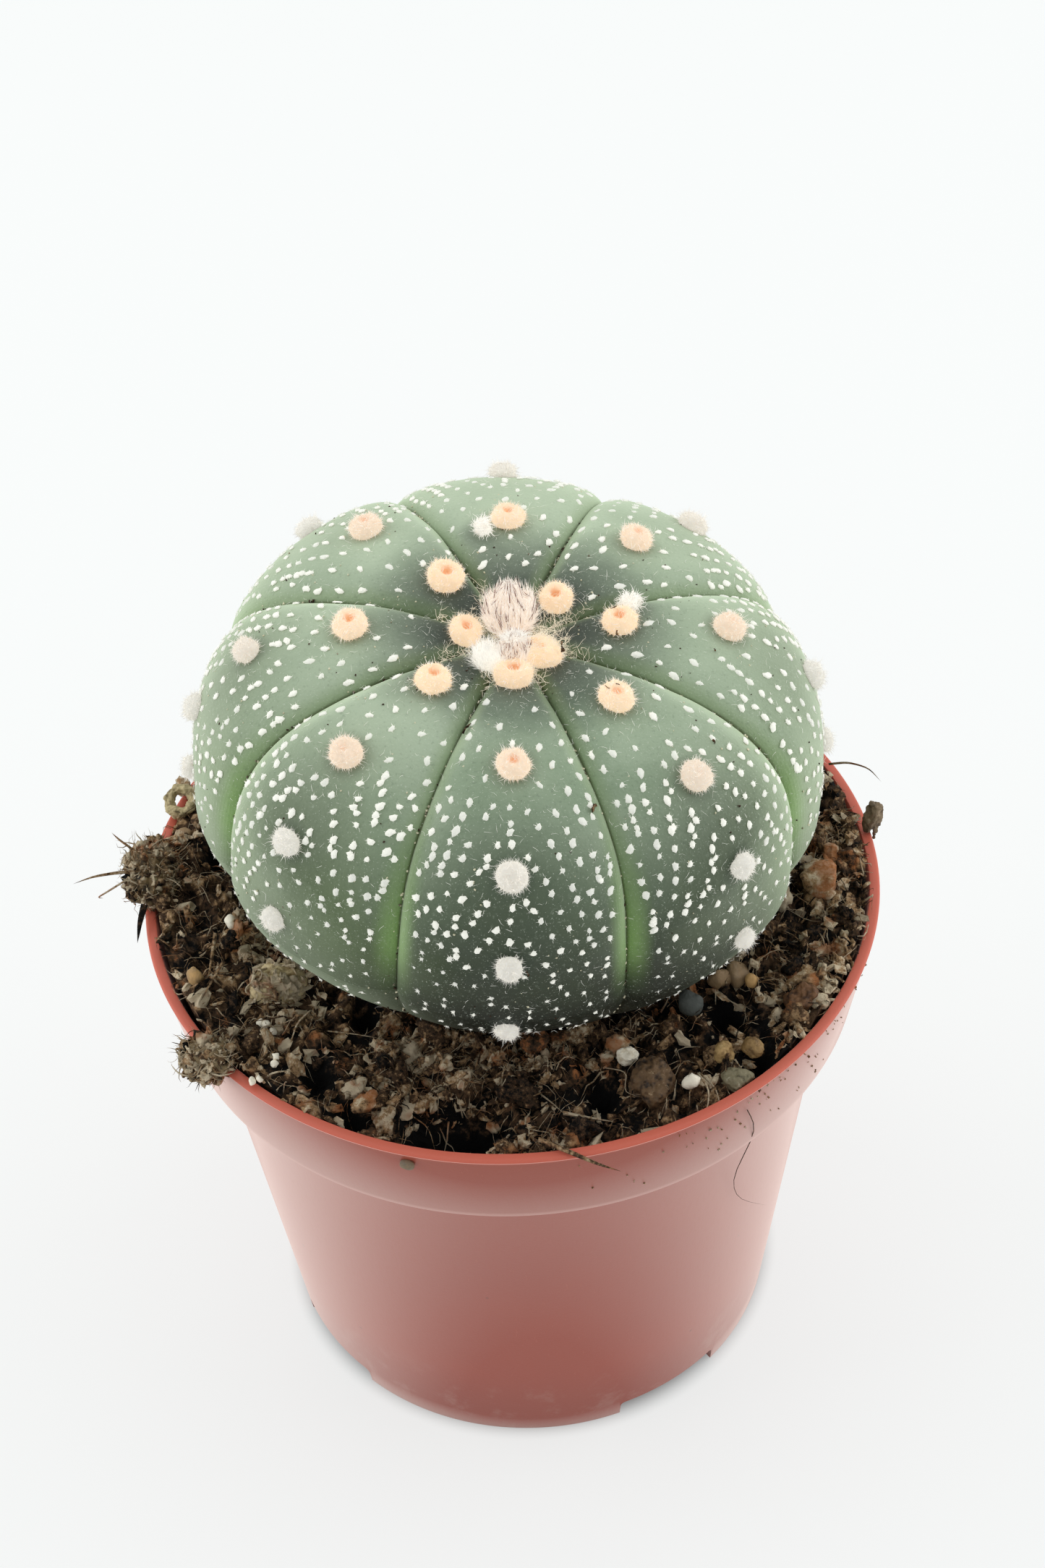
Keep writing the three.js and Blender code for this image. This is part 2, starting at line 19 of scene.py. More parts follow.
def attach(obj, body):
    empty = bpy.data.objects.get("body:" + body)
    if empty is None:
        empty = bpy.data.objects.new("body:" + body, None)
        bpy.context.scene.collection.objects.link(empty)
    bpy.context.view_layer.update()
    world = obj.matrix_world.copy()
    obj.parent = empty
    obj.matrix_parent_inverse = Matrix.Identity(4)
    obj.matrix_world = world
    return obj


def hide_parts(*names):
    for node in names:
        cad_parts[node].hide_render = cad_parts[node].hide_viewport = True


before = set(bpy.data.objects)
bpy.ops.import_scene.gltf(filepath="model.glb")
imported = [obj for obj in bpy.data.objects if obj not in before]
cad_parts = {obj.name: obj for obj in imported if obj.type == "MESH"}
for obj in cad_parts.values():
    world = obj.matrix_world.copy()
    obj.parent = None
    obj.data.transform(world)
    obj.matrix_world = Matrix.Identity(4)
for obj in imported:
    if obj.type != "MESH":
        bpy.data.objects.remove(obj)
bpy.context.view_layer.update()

MM = 0.001  # sizes below are in millimetres, and Blender works in metres

# %% [markdown]
# ## Camera
#
# The photograph looks down on the pot from the front, with the camera rolled a little. The lens is worked
# out from how strongly the rim's ellipse and the leaning walls draw together.

# %% Camera
photo_height_pixels = 2168
focal_length_pixels = 4320
look_down = math.radians(43.5)
camera_roll = math.radians(-3)
camera_distance = 351.5
looked_at = Vector((1.83, 0, 81.13))

bpy.context.scene.view_settings.view_transform = "Standard"
camera = bpy.data.objects.new("camera", bpy.data.cameras.new("camera"))
bpy.context.collection.objects.link(camera)
camera.data.sensor_width = 36
camera.data.lens = focal_length_pixels / photo_height_pixels * camera.data.sensor_width
ahead = Vector((0, math.cos(look_down), -math.sin(look_down)))
camera.matrix_world = (
    Matrix.Translation((looked_at - ahead * camera_distance) * MM)
    @ Matrix.Rotation(math.pi / 2 - look_down, 4, "X")
    @ Matrix.Rotation(camera_roll, 4, "Z")
)
bpy.context.scene.camera = camera
print("camera at", [round(value / MM) for value in camera.matrix_world.translation], "mm")

# %% [markdown]
# ## Finishes as sums
#
# A material is a small flow of nodes. Placing and linking them by hand hides what they work out, so here a
# socket is wrapped in a class that knows plus, minus and times: `1 - mask` adds its Math node by itself.
# Colours never go through Math nodes, which would turn them grey. They go through Mix nodes.


# %% Sockets that can be added up
class Wire:
    """What flows out of a node. A sum with it adds a Math node."""

    def __init__(self, finish, socket):
        self.finish, self.socket = finish, socket

    def __add__(self, other):
        return self.finish.maths("ADD", self, other)

    def __sub__(self, other):
        return self.finish.maths("SUBTRACT", self, other)

    def __rsub__(self, other):
        return self.finish.maths("SUBTRACT", other, self)

    def __mul__(self, other):
        return self.finish.maths("MULTIPLY", self, other)

    __radd__, __rmul__ = __add__, __mul__


# %% [markdown]
# Every other node comes from one method, which takes the settings first, because some of them change which
# sockets a node has. The short methods after it name what the finishes need: a soft step, uneven patches,
# grains, a mix of two colours, bumps, and a pale veil where a surface is seen along.

# %% A material and its nodes
class Finish:
    """A material, with one method that adds any node to it."""

    def __init__(self, name):
        self.material = bpy.data.materials.new(name)
        self.material.use_nodes = True
        self.material.node_tree.nodes.clear()
        self.place = self.node("ShaderNodeTexCoord", out="Object")

    def node(self, kind, settings=(), values=(), out=0):
        """Adds a node: first its settings, then the values or wires of its sockets."""
        tree = self.material.node_tree
        made = tree.nodes.new(kind)
        for name, value in dict(settings).items():
            setattr(made, name, value)
        for name, value in dict(values).items():
            if isinstance(value, Wire):
                tree.links.new(value.socket, made.inputs[name])
            else:
                made.inputs[name].default_value = value
        return Wire(self, made.outputs[out]) if made.outputs else None

    def maths(self, operation, *values):
        """One sum, such as ADD, of numbers or wires."""
        return self.node("ShaderNodeMath", {"operation": operation}, enumerate(values))

    def mark(self, name):
        """A number that the mesh keeps at each of its points."""
        return self.node("ShaderNodeAttribute", {"attribute_name": name}, out="Fac")

    def between(self, value, low, high):
        """0 up to low, 1 from high on, with a smooth climb between them."""
        limits = {"Value": value, "From Min": low, "From Max": high}
        return self.node("ShaderNodeMapRange", {"interpolation_type": "SMOOTHSTEP"}, limits)

    def until(self, value, low, high):
        """1 up to low, 0 from high on."""
        return 1 - self.between(value, low, high)

    def height(self):
        """How high a point is, in mm."""
        return self.node("ShaderNodeSeparateXYZ", values={"Vector": self.place}, out="Z") * (1 / MM)

    def cloud(self, size, detail=3.0, harsh=0.5, stretch=(1, 1, 1)):
        """Uneven patches of about this size in mm, from 0 to 1."""
        place = self.node("ShaderNodeMapping", values={"Vector": self.place, "Scale": stretch})
        values = {"Vector": place, "Scale": 1 / (size * MM), "Detail": detail, "Roughness": harsh}
        return self.node("ShaderNodeTexNoise", values=values, out=0)

    def grains(self, size):
        """Cells of about this size in mm: how far the middle of the nearest one is."""
        values = {"Vector": self.place, "Scale": 1 / (size * MM)}
        return self.node("ShaderNodeTexVoronoi", values=values, out="Distance")

    def mix(self, first, second, amount):
        """The first colour, gone over with the second."""
        return self.node("ShaderNodeMix", {"data_type": "RGBA"}, {0: amount, 6: first, 7: second}, out=2)

    def relief(self, height, depth):
        """Bumps of this depth in mm where the height goes from 0 to 1."""
        values = {"Height": height, "Distance": depth * MM}
        return self.node("ShaderNodeBump", values=values, out="Normal")

    def slant(self):
        """0 where a surface is seen square on, 1 where it is seen along."""
        return self.node("ShaderNodeLayerWeight", values={"Blend": 0.5}, out="Facing")

    def done(self, veil=None, share=0, veil_colour=(0.96, 0.95, 0.93, 1), **values):
        """Joins the colour, roughness and so on to the surface, and gives the finished material. A veil is a
        second, plain surface that takes over by its share."""
        sockets = {name.replace("_", " "): value for name, value in values.items()}
        surface = self.node("ShaderNodeBsdfPrincipled", values=sockets)
        if veil:
            thin = self.node(veil, values={"Color": veil_colour})
            surface = self.node("ShaderNodeMixShader", values={0: share, 1: surface, 2: thin})
        self.node("ShaderNodeOutputMaterial", values={"Surface": surface})
        return self.material


def paint(red, green, blue):
    """A colour as read off a picture, from 0 to 255, as the light that Blender counts with."""
    light = [(value / 255) ** 2.2 for value in (red, green, blue)]
    return (*light, 1)


print("a mid grey of 128 counts as", round(paint(128, 128, 128)[0], 3))

# %% [markdown]
# ## Modelling by hand, in code
#
# Blender's operators act on whatever is selected, so each helper first clears the selection. A pot, a stem
# or a soil bed is turned from its outline, as on a lathe, with the spin operator. What a hand could never
# place one by one, such as thousands of hairs, is worked out with numpy and made a mesh in one go.


# %% Helpers for the operators
def clear_selection():
    """Leaves nothing selected."""
    bpy.ops.object.select_all(action="DESELECT")


def chosen(piece):
    """Makes this piece the only one that an operator acts on."""
    clear_selection()
    piece.select_set(True)
    bpy.context.view_layer.objects.active = piece


def named(name):
    """The shape just added, under its own name."""
    piece = bpy.context.object
    piece.name = piece.data.name = name
    return piece


@contextmanager
def editing(piece):
    """Edit mode for a few lines, with all of the piece selected at first."""
    chosen(piece)
    bpy.ops.object.mode_set(mode="EDIT")
    bpy.ops.mesh.select_all(action="SELECT")
    yield
    bpy.ops.object.mode_set(mode="OBJECT")


def pick_points(piece, test):
    """In edit mode, selects the points whose place in mm passes the test."""
    bpy.ops.mesh.select_mode(type="VERT")
    shape = bmesh.from_edit_mesh(piece.data)
    for point in shape.verts:
        point.select_set(bool(test(point.co / MM)))
    shape.select_flush_mode()
    bmesh.update_edit_mesh(piece.data)


def modify(piece, kind, **settings):
    """Adds a modifier and applies it."""
    chosen(piece)
    modifier = piece.modifiers.new(kind.lower(), kind)
    for name, value in settings.items():
        setattr(modifier, name, value)
    bpy.ops.object.modifier_apply(modifier=modifier.name)


doubles_apart = 0.002  # points closer than this, in mm, are one point


def spun(name, outline, steps):
    """Turns an outline of (radius, height) pairs in mm round the Z axis."""
    clear_selection()
    bpy.ops.mesh.primitive_plane_add(size=MM)
    piece = named(name)
    with editing(piece):
        bpy.ops.mesh.merge(type="CENTER")
        bpy.ops.transform.translate(value=(outline[0][0] * MM, 0, outline[0][1] * MM))
        for (radius, height), (next_radius, next_height) in zip(outline, outline[1:]):
            step = ((next_radius - radius) * MM, 0, (next_height - height) * MM)
            bpy.ops.mesh.extrude_region_move(TRANSFORM_OT_translate={"value": step})
        bpy.ops.mesh.select_all(action="SELECT")
        bpy.ops.mesh.spin(steps=steps, angle=2 * math.pi, center=(0, 0, 0), axis=(0, 0, 1))
        bpy.ops.mesh.select_all(action="SELECT")
        bpy.ops.mesh.remove_doubles(threshold=doubles_apart * MM)
        bpy.ops.mesh.normals_make_consistent(inside=False)
    return piece


# %% [markdown]
# A modelled shape is changed further by a rule, such as the ribs of the plant, by reading all its points as
# one array, working out their new places, and writing them back. Every finished piece is given its material,
# rides on the one body of the object, and hides the plain nodes that it stands for.

# %% Points, marks and the finish of a piece
def points_of(piece):
    """The places of a mesh's points, in mm."""
    places = np.empty(3 * len(piece.data.vertices), np.float32)
    piece.data.vertices.foreach_get("co", places)
    return places.reshape(-1, 3).astype(float) / MM


def move_points(piece, places):
    """Puts a mesh's points at these places, in mm."""
    piece.data.vertices.foreach_set("co", (places * MM).astype(np.float32).ravel())
    piece.data.update()


def keep_mark(piece, name, values):
    """Keeps a number at each point, for the material to read."""
    mark = piece.data.attributes.new(name, "FLOAT", "POINT")
    mark.data.foreach_set("value", np.asarray(values, np.float32))


def finish_piece(piece, material, slot, *nodes):
    """Gives a piece its material, hangs it on the object's body, and hides the plain nodes that it stands
    for.
    """
    piece.data.materials.clear()
    piece.data.materials.append(material)
    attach(piece, "root")
    if nodes:
        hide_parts(*nodes)
    piece.data.calc_loop_triangles()
    print(f"{piece.name}: {len(piece.data.loop_triangles)} triangles")


# %% [markdown]
# Hairs, crumbs and flecks come in thousands. An object for each would choke Blender, so all copies of a
# kind go into one mesh: numpy scales, turns and moves the modelled shape for each place. What differs from
# copy to copy, such as its age or its shade, is kept as a number at its points, for the material to read.

# %% Many copies in one mesh
def new_mesh(name, places, faces, **marks):
    """A piece made straight from arrays of points in mm and faces."""
    mesh = bpy.data.meshes.new(name)
    mesh.from_pydata(places * MM, [], faces, shade_flat=False)
    piece = bpy.data.objects.new(name, mesh)
    bpy.context.collection.objects.link(piece)
    for mark, values in marks.items():
        keep_mark(piece, mark, values)
    return piece


def triangles_of(piece):
    """The three points of each triangle."""
    piece.data.calc_loop_triangles()
    corners = np.empty(3 * len(piece.data.loop_triangles), np.int32)
    piece.data.loop_triangles.foreach_get("vertices", corners)
    return corners.reshape(-1, 3)


def taken_apart(piece):
    """The points and triangles of a modelled shape, which itself is then removed."""
    parts = points_of(piece), triangles_of(piece)
    bpy.data.objects.remove(piece)
    return parts


def copies(name, shapes, picks, places, axes, sizes, **marks):
    """One mesh with a copy of a shape at each place. picks says which shape, axes how each is turned, and
    each mark has a number for each copy."""
    all_places, all_faces, owners, start = [], [], [], 0
    for kind, (points, faces) in enumerate(shapes):
        mine = np.flatnonzero(picks == kind)
        local = points[None] * sizes[mine][:, None]
        world = np.einsum("nij,nkj->nki", axes[mine], local) + places[mine][:, None]
        all_places.append(world.reshape(-1, 3))
        shifts = start + len(points) * np.arange(len(mine))
        all_faces.append((faces[None] + shifts[:, None, None]).reshape(-1, 3))
        owners.append(np.repeat(mine, len(points)))
        start += len(points) * len(mine)
    owners = np.concatenate(owners)
    spread = {mark: np.asarray(values)[owners] for mark, values in marks.items()}
    return new_mesh(name, np.concatenate(all_places), np.concatenate(all_faces), **spread)


# %% [markdown]
# Each copy is turned by three axes of its own. A hair is a three-sided spike round a line that wanders off
# its first direction: a curve would not be exported, and a flat strip would vanish when seen from its edge.

# %% Axes and hairs
def unit(vectors):
    """The same directions, each 1 long."""
    return vectors / np.maximum(np.linalg.norm(vectors, axis=-1, keepdims=True), 1e-9)


def any_axes(rng, count):
    """Axes turned every way."""
    first = unit(rng.normal(size=(count, 3)))
    second = unit(np.cross(first, rng.normal(size=(count, 3))))
    return np.stack([first, second, np.cross(first, second)], axis=-1)


def axes_on(rng, normals):
    """Axes whose third points along the normal, turned any way about it."""
    side = unit(np.cross(normals, rng.normal(size=normals.shape)))
    return np.stack([side, np.cross(normals, side), normals], axis=-1)


def strands(name, lines, widths, **marks):
    """Fine three-sided hairs along lines of points, each narrowing to a tip."""
    count, joints = lines.shape[:2]
    along = unit(np.gradient(lines, axis=1))
    helper = unit(np.cross(along[:, :1], np.array([0.31, 0.62, 0.72])))
    side = unit(np.cross(along, helper))
    other = np.cross(along, side)
    turns = 2 * np.pi * np.arange(3) / 3
    ring = side[:, :, None] * np.cos(turns)[:, None] + other[:, :, None] * np.sin(turns)[:, None]
    thin = (1 - (np.arange(joints) / (joints - 1)) ** 2)[None, :, None, None]
    body = lines[:, :, None] + ring * thin * (widths / 2)[:, None, None, None]
    per_hair = 3 * (joints - 1) + 1
    places = np.concatenate([body[:, :-1].reshape(count, -1, 3), lines[:, -1:]], axis=1)
    faces = [(0, 2, 1)]
    for joint in range(joints - 2):
        low, high = 3 * joint, 3 * joint + 3
        for corner in range(3):
            after = (corner + 1) % 3
            faces += [(low + corner, low + after, high + after), (low + corner, high + after, high + corner)]
    last = 3 * (joints - 2)
    faces += [(last + corner, last + (corner + 1) % 3, per_hair - 1) for corner in range(3)]
    shifts = per_hair * np.arange(count)[:, None, None]
    all_faces = (np.array(faces)[None] + shifts).reshape(-1, 3)
    spread = {mark: np.repeat(values, per_hair) for mark, values in marks.items()}
    return new_mesh(name, places.reshape(-1, 3), all_faces, **spread)


def wandering(rng, roots, starts, lengths, joints, wildness):
    """Lines that set off from their roots in a direction and wander off it."""
    heading, place, line = unit(starts), roots, [roots]
    for _ in range(joints - 1):
        place = place + heading * (lengths / (joints - 1))[:, None]
        heading = unit(heading + wildness * rng.normal(size=heading.shape))
        line.append(place)
    return np.stack(line, axis=1)


sample = wandering(np.random.default_rng(0), np.zeros((1, 3)), np.ones((1, 3)), np.ones(1), 4, 0.3)
print("a line 1 mm long wanders to", sample[0, -1].round(2))

# %% [markdown]
# Hairs and crumbs grow on surfaces, so their roots are drawn at random over a piece's faces, on a large face
# more often than on a small one. Soft steps and fractal noise give the rules below their smooth ends and
# their unevenness.

# %% Scattering, soft steps and noise
def in_fixed_order(places, corners):
    """The same triangles, in an order that follows from their places alone. Modelling leaves them in an
    order that differs from run to run, and a random draw would then pick others each time."""
    rank = np.empty(len(places), int)
    rank[np.lexsort(places.round(4).T)] = np.arange(len(places))
    first = rank[corners].argmin(axis=1)
    turned = np.take_along_axis(corners, (first[:, None] + np.arange(3)) % 3, axis=1)
    return turned[np.lexsort(rank[turned].T)]


def scatter(rng, piece, count):
    """Places spread evenly over a piece: spot, way out of the surface, and a mesh point beside it."""
    places = points_of(piece)
    corners = in_fixed_order(places, triangles_of(piece))
    a, b, c = (places[corners[:, corner]] for corner in range(3))
    across = np.cross(b - a, c - a)
    area = np.linalg.norm(across, axis=1)
    face = rng.choice(len(area), count, p=area / area.sum())
    s, t = rng.random((2, count, 1))
    s, t = np.where(s + t > 1, 1 - s, s), np.where(s + t > 1, 1 - t, t)
    spots = a[face] + s * (b - a)[face] + t * (c - a)[face]
    return spots, unit(across[face]), corners[face, 0]


def rise(value, start, end):
    """0 before start, 1 after end, with a smooth climb between them."""
    way = np.clip((value - start) / (end - start), 0, 1)
    return way * way * (3 - 2 * way)


def fractal(places, size, octaves):
    """Uneven swelling at each place, about -1 to 1, with lumps of about this size in mm."""
    fading, finer = 0.8, 2.1  # from each octave to the next
    return np.array([noise.fractal(Vector(place) / size, fading, finer, octaves) for place in places])


def columns_of(rows):
    """The columns of a hand-written list, each as an array."""
    return (np.array(column) for column in zip(*rows))


print("a quarter of the way, a soft step has climbed", rise(0.25, 0, 1))


# %% [markdown]
# ## Floor and light
#
# The real pot stands on a white sweep in a light tent. The shadow is faint, the sides of the pot are pale
# and its front and the low front ribs are dark, so most of the light comes from both sides and from above
# and behind. Two soft boxes stand at the sides and a larger one hangs behind, in a white world. The sweep
# itself glows, as if lit from below through its white sheet, which is why the pot hardly throws a shadow on
# it. Round and under the pot's foot the glow fades out: a painted shadow, which also makes the notches dark.

# %% Floor, sky and lamps
clear_selection()
sweep_radius, sweep_drop = 2000, 0.02
bpy.ops.mesh.primitive_circle_add(
    vertices=64, radius=sweep_radius * MM, fill_type="NGON", location=(0, 0, -sweep_drop * MM))
floor = named("floor")
look = Finish("white_sweep")
from_middle = look.node("ShaderNodeVectorMath", {"operation": "LENGTH"}, {0: look.place}, out="Value")
# Painted shadow: the sweep's glow fades out between these radii, in mm, round and under the pot's foot.
shadow_full_inside, shadow_gone_outside = 27, 32  # round the edge of the pot's foot, which is 30 mm in radius
glow_past_painted_shadow = look.between(from_middle, shadow_full_inside * MM, shadow_gone_outside * MM)
glow = look.mix((0, 0, 0, 1), (0.985, 1, 0.998, 1), glow_past_painted_shadow)
sheet = {"Emission_Color": glow, "Emission_Strength": 0.68}
floor.data.materials.append(look.done(Base_Color=paint(138, 140, 139), Roughness=0.8, **sheet))

sky_strength = 0.55
sky = bpy.data.worlds.new("light_tent")
sky.use_nodes = True
sky.node_tree.nodes["Background"].inputs["Color"].default_value = (0.97, 1, 0.995, 1)
sky.node_tree.nodes["Background"].inputs["Strength"].default_value = sky_strength
bpy.context.scene.world = sky


lamp_target = Vector((0, 0, 60))


def soft_lamp(name, place, size, power):
    """A square soft box that faces the plant. Place and size are in mm, and the power is in watts."""
    lamp = bpy.data.objects.new(name, bpy.data.lights.new(name, "AREA"))
    bpy.context.collection.objects.link(lamp)
    lamp.data.size = size * MM
    lamp.data.energy = power
    lamp.location = Vector(place) * MM
    lamp.rotation_euler = (lamp_target - Vector(place)).to_track_quat("-Z", "Y").to_euler()


soft_lamp("lamp_behind", (0, 350, 800), 900, 2)
soft_lamp("lamp_left", (-700, 60, 330), 700, 2.5)
soft_lamp("lamp_right", (700, 60, 330), 700, 2.5)
print("lamps:", sum(light.energy for light in bpy.data.lights), "W in all, sky strength", sky_strength)

# %% [markdown]
# ## How the plant is shaped
#
# The body has eight ribs, with a crest down the middle of each and a groove between each two. A place on the
# skin is given as a rib, a way along it from the crown, and a way across it, from -1 at the groove on one
# side over 0 at the crest to 1 at the other groove. Everything that grows on the skin uses these three.

# %% Sizes of the plant
plant_place = np.array((0.25, 2.5, 80.3))
plant_radius = 35.4
crown_height, base_depth = 24.1, 25
crown_flatness, base_flatness = 3.2, 1.46
crown_hollow, crown_hollow_radius = 2.6, 9.6
lean_to_front, lean_to_right = math.radians(3.9), math.radians(3.7)
neck_radius, neck_height, root_radius, root_tip_radius, root_depth = 9, 3, 4.5, 2.25, 40
ribs = 8
rib_turn = np.radians(360 / ribs)
crest_turn = np.radians([-2.2, -1.9, 2, -0.3, 0, -1.9, -0.8, -1.8])
groove_turn = np.radians([-2.6, -2.6, -2.3, -0.6, 2.3, 4.1, 1.6, -0.3])
dome_depth, crease_depth, valley_depth = 0.45, 0.75, 1.2
crease_width, valley_width = 0.05, 0.2
fold_depth, fold_width = 0.75, 0.2  # the soft fold that draws the ribs apart near the crown
standing = np.array(Matrix.Rotation(lean_to_front, 3, "X") @ Matrix.Rotation(lean_to_right, 3, "Y"))
print("a rib is", round(plant_radius * float(rib_turn)), "mm wide at most")


# %% [markdown]
# Seen from the side, the body is a flattened ball: two superellipses, a fuller one over the widest place and
# a pointed one under it, with a hollow at the crown, and then the root. Its outline is measured once in many
# short steps, and looked up by the way along it from then on.

# %% Outline of the crest
def crest_line(steps=6000):
    """The middle of a rib from the crown to the root tip: way along, radius, height, outward and upward."""
    turn = np.linspace(0, math.pi, steps)
    side, up = np.sin(turn), np.abs(np.cos(turn))
    above = turn <= math.pi / 2
    radius = plant_radius * np.maximum(side, 0) ** np.where(above, 2 / crown_flatness, 2 / base_flatness)
    hollow = crown_hollow * np.exp(-((radius / crown_hollow_radius) ** 2))
    top, base = crown_height * up ** (2 / crown_flatness) - hollow, -base_depth * up ** (2 / base_flatness)
    body = above | (radius >= neck_radius)
    radius, height = radius[body], np.where(above, top, base)[body]
    neck_top = height[-1]
    root = [(neck_radius + root_radius) / 2, root_radius, root_tip_radius]
    depths = [neck_top - neck_height, (neck_top - root_depth) / 2, -root_depth]
    radius, height = np.concatenate([radius, root]), np.concatenate([height, depths])
    step = np.hypot(np.diff(radius), np.diff(height))
    along = np.concatenate([[0], np.cumsum(step)])
    outward, upward = -np.gradient(height, along), np.gradient(radius, along)
    return along, radius, height, outward, upward


crest = crest_line()


def crest_at(along):
    """Radius, height, outward and upward at each way along the crest."""
    return (np.interp(along, crest[0], values) for values in crest[1:])


print("from crown to root tip:", round(float(crest[0][-1])), "mm along the crest")


# %% [markdown]
# The skin lies below the crest's outline by the sum of four presses: a shallow dome right across the rib, a
# sharp crease at the groove, a soft fold beside it near the crown, and an open valley lower down. All of
# them come and go along the rib with soft steps.

# %% From rib, way along and way across to a place
def angle_across(rib, across):
    """The turn about the plant's axis of a place across a rib. The first rib faces the front."""
    crest_angle = np.radians(-90) + rib * rib_turn + crest_turn[rib]
    side = np.where(across < 0, rib - 1, rib)
    groove_angle = np.radians(-67.5) + side * rib_turn + groove_turn[side % ribs]
    return crest_angle + np.abs(across) * (groove_angle - crest_angle)


def press(along, across):
    """How far the skin lies below the crest's outline, and how open the valley is there, from 0 to 1."""
    edge = 1 - np.abs(across)
    near = rise(along, 1.5, 12)
    crease = crease_depth * near * (1 - 0.5 * rise(along, 40, 56) - 0.5 * rise(along, 58, 64))
    crease = crease * np.exp(-edge / crease_width)
    fold = fold_depth * near * (1 - rise(along, 20, 46)) * np.exp(-((edge / fold_width) ** 2))
    opening = rise(along, 26, 44) * (1 - rise(along, 48, 62))
    valley = valley_depth * opening * np.exp(-edge / valley_width)
    dome = dome_depth * near * (1 - rise(along, 52, 68)) * across**2
    return dome + crease + fold + valley, opening


def on_skin(rib, along, across):
    """Where each place on the skin lies, in mm."""
    radius, height, outward, upward = crest_at(along)
    depth, _ = press(along, across)
    flat = np.maximum(radius - depth * outward, np.minimum(radius, 0.3))
    turn = angle_across(rib, across)
    local = np.stack([flat * np.cos(turn), flat * np.sin(turn), height - depth * upward], axis=-1)
    return local @ standing.T + plant_place


def skin_axes(rib, along, across):
    """Three axes at each place on the skin: down the rib, across it, and out of the skin."""
    left, right = np.clip(across - 0.02, -1, 1), np.clip(across + 0.02, -1, 1)
    down = unit(on_skin(rib, along + 0.15, across) - on_skin(rib, np.maximum(along - 0.15, 0), across))
    side = unit(on_skin(rib, along, right) - on_skin(rib, along, left))
    out = unit(np.cross(down, side))
    return np.stack([down, np.cross(out, down), out], axis=-1)


def half_rib(along):
    """How wide half a rib is, in mm, at each way along it."""
    radius, _, _, _ = crest_at(along)
    return radius * math.pi / ribs


crown = on_skin(np.array([0]), np.array([0.0]), np.array([0.0]))[0]
print("crown at", crown.round(1), "mm")

# %% [markdown]
# ## Where the cushions sit
#
# A star cactus has no spines. Each rib carries a row of round felt cushions down its crest: young ones near
# the crown are orange rings with a dimple, old ones lower down are white and round. Their places follow the
# photograph, rib by rib, and go on at an even step where the plant hides them.

# %% Places of the cushions and loose tufts
drawn_out_along = 4.2  # the cushion at this place is drawn out down its rib, in long wisps
cushion_places = [  # ways along each rib, in mm from the crown
    [7, 20.2, 32.1, 42.5, 53],
    [drawn_out_along, 15.4, 27.4, 38.4, 49],
    [11.7, 23.7, 36.2, 47],
    [7, 20, 30.9],
    [17.2, 31.8],
    [10.7, 23.3, 34.7],
    [5.4, 17.7, 29.5, 40.1, 49.8, 58.5],
    [12.3, 25, 36.2, 46.9],
]
cushion_step, last_cushion = 10.5, 56
young_radius, old_radius = 1.98, 1.2
for row in cushion_places:
    while row[-1] + cushion_step < last_cushion:
        row.append(row[-1] + cushion_step)
cushion_rib = np.repeat(np.arange(ribs), [len(row) for row in cushion_places])
cushion_along = np.concatenate(cushion_places)
cushion_age = rise(cushion_along, 7, 37)
cushion_radius = young_radius + rise(cushion_along, 4, 60) * (old_radius - young_radius)
cushion_at = on_skin(cushion_rib, cushion_along, 0 * cushion_along)
cushion_axes = skin_axes(cushion_rib, cushion_along, 0 * cushion_along)
tuft_places = [(7, 5.2, 1.2, 1.8), (2, 13.4, 3.4, 1.7), (4, 15.6, 2.6, 1.6)]  # rib, along, mm across, size
tuft_rib, tuft_along, tuft_across, tuft_radius = columns_of(tuft_places)
tuft_side = tuft_across / half_rib(tuft_along)
tuft_at = on_skin(tuft_rib, tuft_along, tuft_side)
tuft_axes = skin_axes(tuft_rib, tuft_along, tuft_side)
drawn_out = int(np.flatnonzero(cushion_along == drawn_out_along)[0])
print(len(cushion_along), "cushions and", len(tuft_at), "loose tufts")


def off_cushions(places):
    """How far each place is from the edge of the nearest cushion or tuft, in mm."""
    middles = np.concatenate([cushion_at, tuft_at])
    sizes = np.concatenate([cushion_radius, tuft_radius])
    return (np.linalg.norm(places[:, None] - middles[None], axis=2) - sizes).min(axis=1)


# %% [markdown]
# ## Skin
#
# The body could be sculpted, but its ribs follow a rule, so it is turned on the lathe from the crest's
# outline and then pressed in at the grooves, point by point. The columns of faces are gathered towards the
# grooves, where the skin bends most. Each point keeps marks for the finish: how far it is from the groove
# and from a cushion, and how open the valley is.

# %% Turn and press the skin
columns = 384
gathered = 1.6  # over 1 draws the columns towards the grooves
ring_along = np.concatenate([[1.2], np.arange(2, 66, 0.6), [68, 72], crest[0][-3:]])
radius_at, height_at, _, _ = crest_at(ring_along)
outline = [(0, crest[2][0]), *zip(radius_at, height_at), (0, crest[2][-1])]
skin = spun("skin", outline, columns)
turned = points_of(skin)
distance = np.hypot(turned[:, 0], turned[:, 1])
outline_radius, outline_height = np.array(outline).T
ring = np.array([np.argmin(np.hypot(outline_radius - r, outline_height - z))
                 for r, z in zip(distance, turned[:, 2])])
outline_along = np.array([0, *ring_along, crest[0][-1]])
along = outline_along[ring]
column = np.rint(np.arctan2(turned[:, 1], turned[:, 0]) / (2 * math.pi) * columns).astype(int) % columns
per_rib = columns // ribs
rib = ((column + per_rib // 2) // per_rib) % ribs
even = ((column + per_rib // 2) % per_rib - per_rib // 2) / (per_rib // 2)
across = np.sign(even) * (1 - (1 - np.abs(even)) ** gathered)
places = on_skin(rib, along, across)
tip = ring == len(outline) - 1
places[tip] = np.array((0, 0, crest[2][-1])) @ standing.T + plant_place
_, opening = press(along, across)
swell_height, swell_size = 0.16, 9
swell = swell_height * fractal(places, swell_size, 2) * rise(along, 4, 14)
